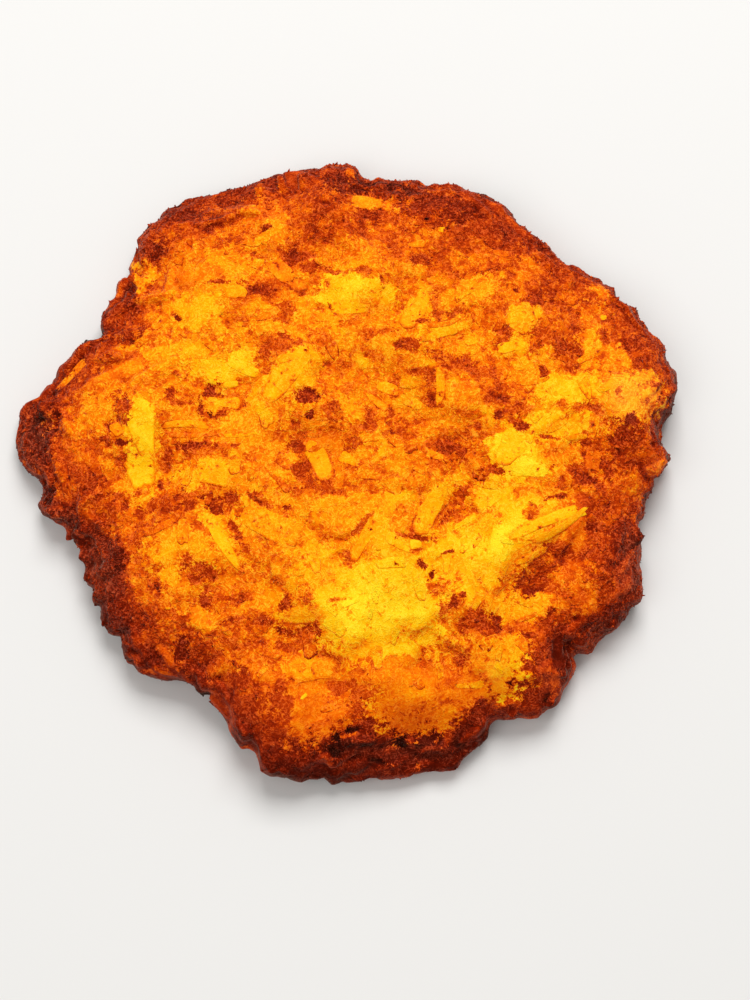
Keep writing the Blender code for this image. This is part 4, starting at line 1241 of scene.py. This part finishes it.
class Nodes:
    """Short way to add and join a material's nodes; lengths are in millimetres."""

    def __init__(self, name):
        self.material = bpy.data.materials.new(name)
        self.material.use_nodes = True
        self.tree = self.material.node_tree
        self.shader = self.tree.nodes["Principled BSDF"]
        self.place = self.tree.nodes.new("ShaderNodeTexCoord").outputs["Object"]

    def put(self, value, socket):
        """Join a socket to a socket, or set a plain value on it."""
        if isinstance(value, bpy.types.NodeSocket):
            self.tree.links.new(value, socket)
        else:
            socket.default_value = value

    def math(self, operation, *values):
        """Result of one step of arithmetic."""
        node = self.tree.nodes.new("ShaderNodeMath")
        node.operation = operation
        for socket, value in zip(node.inputs, values):
            self.put(value, socket)
        return node.outputs[0]

    def total(self, *values):
        """Sum of several values."""
        result = values[0]
        for value in values[1:]:
            result = self.math("ADD", result, value)
        return result

    def times(self, first, second):
        """Product of two values."""
        return self.math("MULTIPLY", first, second)

    def attribute(self, name):
        """Number that the mesh stores for each point."""
        node = self.tree.nodes.new("ShaderNodeAttribute")
        node.attribute_name = name
        return node.outputs["Fac"]

    def warped(self, amount, size):
        """Coordinates shifted by up to about amount, in swirls about size across."""
        swirl = self.tree.nodes.new("ShaderNodeTexNoise")
        self.put(self.place, swirl.inputs["Vector"])
        swirl.inputs["Scale"].default_value = 1.0 / (size * MM)
        swirl.inputs["Detail"].default_value = 2.0
        shift = self.tree.nodes.new("ShaderNodeVectorMath")
        shift.operation = "MULTIPLY_ADD"
        self.put(swirl.outputs["Color"], shift.inputs[0])
        shift.inputs[1].default_value = (2.0 * amount * MM,) * 3
        self.put(self.place, shift.inputs[2])
        return shift.outputs["Vector"]

    def noise(self, size, detail, roughness=0.6, place=None, distortion=0.0):
        """Noise between 0 and 1, mostly near 0.5, whose largest lumps are about size across."""
        node = self.tree.nodes.new("ShaderNodeTexNoise")
        self.put(place or self.place, node.inputs["Vector"])
        node.inputs["Scale"].default_value = 1.0 / (size * MM)
        node.inputs["Detail"].default_value = detail
        node.inputs["Roughness"].default_value = roughness
        node.inputs["Distortion"].default_value = distortion
        return node.outputs["Fac"]

    def crests(self, size, detail, distortion):
        """Distance, in noise, from the curled lines along which a noise is halfway up."""
        waves = self.noise(size, detail, 0.5, distortion=distortion)
        return self.math("ABSOLUTE", self.math("SUBTRACT", waves, 0.5))

    def grains(self, size, place=None):
        """Grains of about size: a random number for each, and the distance from its middle."""
        node = self.tree.nodes.new("ShaderNodeTexVoronoi")
        self.put(place or self.place, node.inputs["Vector"])
        node.inputs["Scale"].default_value = 1.0 / (size * MM)
        parts = self.tree.nodes.new("ShaderNodeSeparateColor")
        self.put(node.outputs["Color"], parts.inputs[0])
        return parts.outputs[0], node.outputs["Distance"]

    def remap(self, value, low, high, to_low, to_high, ease=False):
        """Map low to high onto to_low to to_high, held at the ends."""
        node = self.tree.nodes.new("ShaderNodeMapRange")
        node.interpolation_type = "SMOOTHSTEP" if ease else "LINEAR"
        names = ("Value", "From Min", "From Max", "To Min", "To Max")
        for name, part in zip(names, (value, low, high, to_low, to_high)):
            self.put(part, node.inputs[name])
        return node.outputs["Result"]

    def ramp(self, value, stops):
        """Colour ramp; each stop is a place and an sRGB colour from 0 to 255."""
        node = self.tree.nodes.new("ShaderNodeValToRGB")
        elements = node.color_ramp.elements
        while len(elements) < len(stops):
            elements.new(0.5)
        for element, (place, colour) in zip(elements, stops):
            element.position = place
            element.color = (*[linear(part) for part in colour], 1.0)
        self.put(value, node.inputs["Fac"])
        return node.outputs["Color"]

    def add_colour(self, first, second, share):
        """First colour plus a share of the second."""
        node = self.tree.nodes.new("ShaderNodeMix")
        node.data_type = "RGBA"
        node.blend_type = "ADD"
        sockets = [socket for socket in node.inputs if socket.enabled]
        for socket, value in zip(sockets, (share, first, second)):
            self.put(value, socket)
        return [socket for socket in node.outputs if socket.enabled][0]

    def bump(self, height, distance):
        """Normal bent by a height whose full range stands for distance."""
        node = self.tree.nodes.new("ShaderNodeBump")
        node.inputs["Strength"].default_value = 1.0
        node.inputs["Distance"].default_value = distance * MM
        self.put(height, node.inputs["Height"])
        return node.outputs["Normal"]


def linear(value):
    """Linear light from an sRGB value from 0 to 255."""
    share = value / 255.0
    return share / 12.92 if share <= 0.04045 else ((share + 0.055) / 1.055) ** 2.4


def crust_tone(nodes):
    """The mesh's tone, broken into ragged patches, curled strokes and grains.

    Gives the browning, the fine part of it, the height of the relief and the mesh's grain.
    """
    bare_tone = nodes.attribute("tone")
    grain = nodes.attribute("grain")
    # light curled ridges over darker ground
    ridge = nodes.crests(1.0, 2.0, 1.4)
    small_ridge = nodes.crests(0.5, 1.0, 1.0)
    strokes = nodes.total(
        nodes.remap(ridge, 0.0, 0.08, 0.133, -0.077),
        nodes.remap(small_ridge, 0.0, 0.10, 0.055, -0.035),
    )
    # light patches with ragged edges and a thin dark gap round them
    torn = nodes.noise(1.5, 6.0, 0.64, nodes.warped(0.3, 1.0))
    fray = nodes.total(nodes.times(nodes.math("SUBTRACT", torn, 0.5), 2.6), nodes.times(strokes, 0.6))
    inside = nodes.total(nodes.attribute("light"), fray)
    rise = nodes.math("SUBTRACT", nodes.attribute("light_tone"), bare_tone)
    share = nodes.remap(inside, 0.20, 0.80, 0.0, 1.0, ease=True)
    lit = nodes.math("MULTIPLY_ADD", share, rise, bare_tone)
    from_edge = nodes.math("ABSOLUTE", nodes.math("SUBTRACT", inside, 0.30))
    gap = nodes.remap(from_edge, 0.0, 0.08, -0.08, 0.0)
    lit = nodes.total(lit, gap)
    # browned patches with ragged edges
    ragged = nodes.noise(2.0, 8.0, 0.66, nodes.warped(0.35, 1.3))
    fray = nodes.total(nodes.times(nodes.math("SUBTRACT", ragged, 0.5), -2.6), nodes.times(strokes, -0.8))
    inside = nodes.total(nodes.attribute("patch"), fray)
    drop = nodes.math("SUBTRACT", nodes.attribute("patch_tone"), lit)
    share = nodes.remap(inside, 0.32, 0.68, 0.0, 1.0, ease=True)
    tone = nodes.math("MULTIPLY_ADD", share, drop, lit)
    # smaller patches, more of them where the tone is darker
    leaning = nodes.math("MULTIPLY_ADD", tone, 0.5, ragged)
    patch = nodes.remap(leaning, 0.76, 0.84, -0.13, 0.06, ease=True)
    patch = nodes.total(patch, nodes.remap(tone, 0.4, 0.9, 0.07, -0.05))
    # grains of crust, each its own shade, with dark between them
    fine_shade, fine_distance = nodes.grains(0.42, nodes.warped(0.12, 0.7))
    shades = nodes.total(
        nodes.remap(fine_shade, 0.0, 1.0, -0.025, 0.025),
        nodes.remap(fine_distance, 0.35, 0.65, 0.01, -0.03),
    )
    dust = nodes.remap(nodes.noise(0.26, 2.0, 0.7), 0.25, 0.75, -0.03, 0.03)
    crust = nodes.times(nodes.total(patch, shades), grain)
    stroked = nodes.times(strokes, nodes.remap(grain, 0.0, 0.6, 0.2, 1.0))
    # thin dark cracks here and there
    here = nodes.remap(nodes.noise(3.0, 2.0), 0.50, 0.60, 0.0, 1.0)
    cracked = nodes.times(here, nodes.remap(tone, 0.7, 0.88, 1.0, 0.0))
    crack = nodes.remap(nodes.crests(2.0, 5.0, 0.9), 0.0, 0.016, -0.16, 0.0)
    extra = nodes.total(crust, stroked, dust, nodes.times(crack, cracked))
    # all of it weaker where the crust is burnt and where bare potato shows
    unburnt = nodes.remap(tone, 0.12, 0.36, 0.38, 0.81)
    strength = nodes.times(unburnt, nodes.remap(tone, 0.68, 0.88, 1.0, 0.36))
    shade = nodes.math("MULTIPLY_ADD", extra, strength, tone)
    relief = nodes.total(
        nodes.remap(ridge, 0.0, 0.15, 0.5, -0.2),
        nodes.remap(small_ridge, 0.0, 0.15, 0.3, -0.1),
        nodes.times(fine_distance, -0.5),
    )
    fine = nodes.total(stroked, dust, nodes.times(shades, grain))
    return shade, fine, relief, grain


def crust_material():
    """Fried crust: tone from the mesh, broken up by speckle, with a painted highlight of pale light on its
    ridges.
    """
    nodes = Nodes("fried_crust")
    tone, fine, relief, grain = crust_tone(nodes)
    # painted highlight that follows the fine light detail, raised on dry crust and in the pale marks
    painted_gleam = nodes.remap(fine, 0.01, 0.26, 0.0, 1.0)
    painted_gleam = nodes.math("MULTIPLY_ADD", nodes.attribute("dry_and_sheen"), nodes.math("ADD", painted_gleam, 0.3), painted_gleam)
    # the painted highlight fades where the tone is dark
    dull = nodes.remap(tone, 0.10, 0.32, 0.35, 1.0)
    painted_gleam = nodes.times(painted_gleam, dull)
    colour = nodes.add_colour(nodes.ramp(tone, BROWNING), PAINTED_GLEAM, painted_gleam)
    nodes.put(colour, nodes.shader.inputs["Base Color"])
    dust = nodes.noise(0.3, 4.0, 0.7)
    height = nodes.total(relief, nodes.times(dust, 0.5))
    height = nodes.times(height, nodes.remap(grain, 0.0, 1.0, 0.15, 1.0))
    nodes.put(nodes.bump(height, 0.10), nodes.shader.inputs["Normal"])
    nodes.put(nodes.remap(dust, 0.3, 0.7, 0.55, 0.35), nodes.shader.inputs["Roughness"])
    nodes.shader.inputs["Specular IOR Level"].default_value = CRUST_SPECULAR
    nodes.shader.inputs["Sheen Weight"].default_value = CRUST_SHEEN
    nodes.shader.inputs["Sheen Roughness"].default_value = CRUST_SHEEN_ROUGHNESS
    nodes.shader.inputs["Sheen Tint"].default_value = CRUST_SHEEN_TINT
    return nodes.material


def floor_material():
    """Plain pale studio floor."""
    nodes = Nodes("studio_floor")
    nodes.shader.inputs["Base Color"].default_value = FLOOR_COLOUR
    nodes.shader.inputs["Roughness"].default_value = FLOOR_ROUGHNESS
    return nodes.material


# ---------------------------------------------------------------------------
# Stage

def make_floor():
    """Floor that the cake lies on."""
    bpy.ops.mesh.primitive_plane_add(size=FLOOR_SIDE)
    floor = bpy.context.object
    floor.name = "studio_floor"
    floor.data.materials.append(floor_material())


def make_world():
    """Dim even surround."""
    world = bpy.data.worlds.new("studio")
    world.use_nodes = True
    background = world.node_tree.nodes["Background"]
    background.inputs["Color"].default_value = SURROUND_COLOUR
    background.inputs["Strength"].default_value = SURROUND_STRENGTH
    bpy.context.scene.world = world


def make_light(name, place, side, power):
    """Square area light aimed at the middle of the cake."""
    data = bpy.data.lights.new(name, "AREA")
    data.size = side
    data.energy = power
    light = bpy.data.objects.new(name, data)
    light.location = place
    light.rotation_euler = (-Vector(place)).to_track_quat("-Z", "Y").to_euler()
    bpy.context.scene.collection.objects.link(light)


def make_camera():
    """Camera that looks down on the cake from the -Y side."""
    data = bpy.data.cameras.new("camera")
    data.lens = CAMERA_LENS
    camera = bpy.data.objects.new("camera", data)
    box = zip(CAD_LOW, CAD_HIGH, AIM_SHARE)
    aim = Vector([low + share * (high - low) for low, high, share in box])
    tilt = math.radians(CAMERA_ELEVATION)
    back = Vector((0.0, -math.cos(tilt), math.sin(tilt)))
    camera.location = aim + back * CAMERA_DISTANCE
    camera.rotation_euler = (-back).to_track_quat("-Z", "Y").to_euler()
    bpy.context.scene.collection.objects.link(camera)
    bpy.context.scene.camera = camera


def make_stage():
    """Floor, surround, lights and camera."""
    make_floor()
    make_world()
    for light in LIGHTS:
        make_light(*light)
    make_camera()
    bpy.context.scene.view_settings.view_transform = "Standard"


def declare(piece):
    """Say which body a piece belongs to."""
    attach(piece, BODY)


def main():
    """Build the pieces, say which body they belong to, and set the stage."""
    core = smooth_core()
    form = Form(core)
    strands = join_strands(top_strands(form) + wall_strands(form) + nub_strands())
    body = fused_skin(core, strands)
    bpy.data.objects.remove(core)
    tone = roughen(body, form, strands)
    flakes = make_flakes(Ground(body, tone))
    crumbs = make_crumbs(body, tone)
    crust = crust_material()
    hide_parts(NODE)
    for piece in (body, flakes, crumbs):
        piece.data.materials.append(crust)
        declare(piece)
    make_stage()


main()
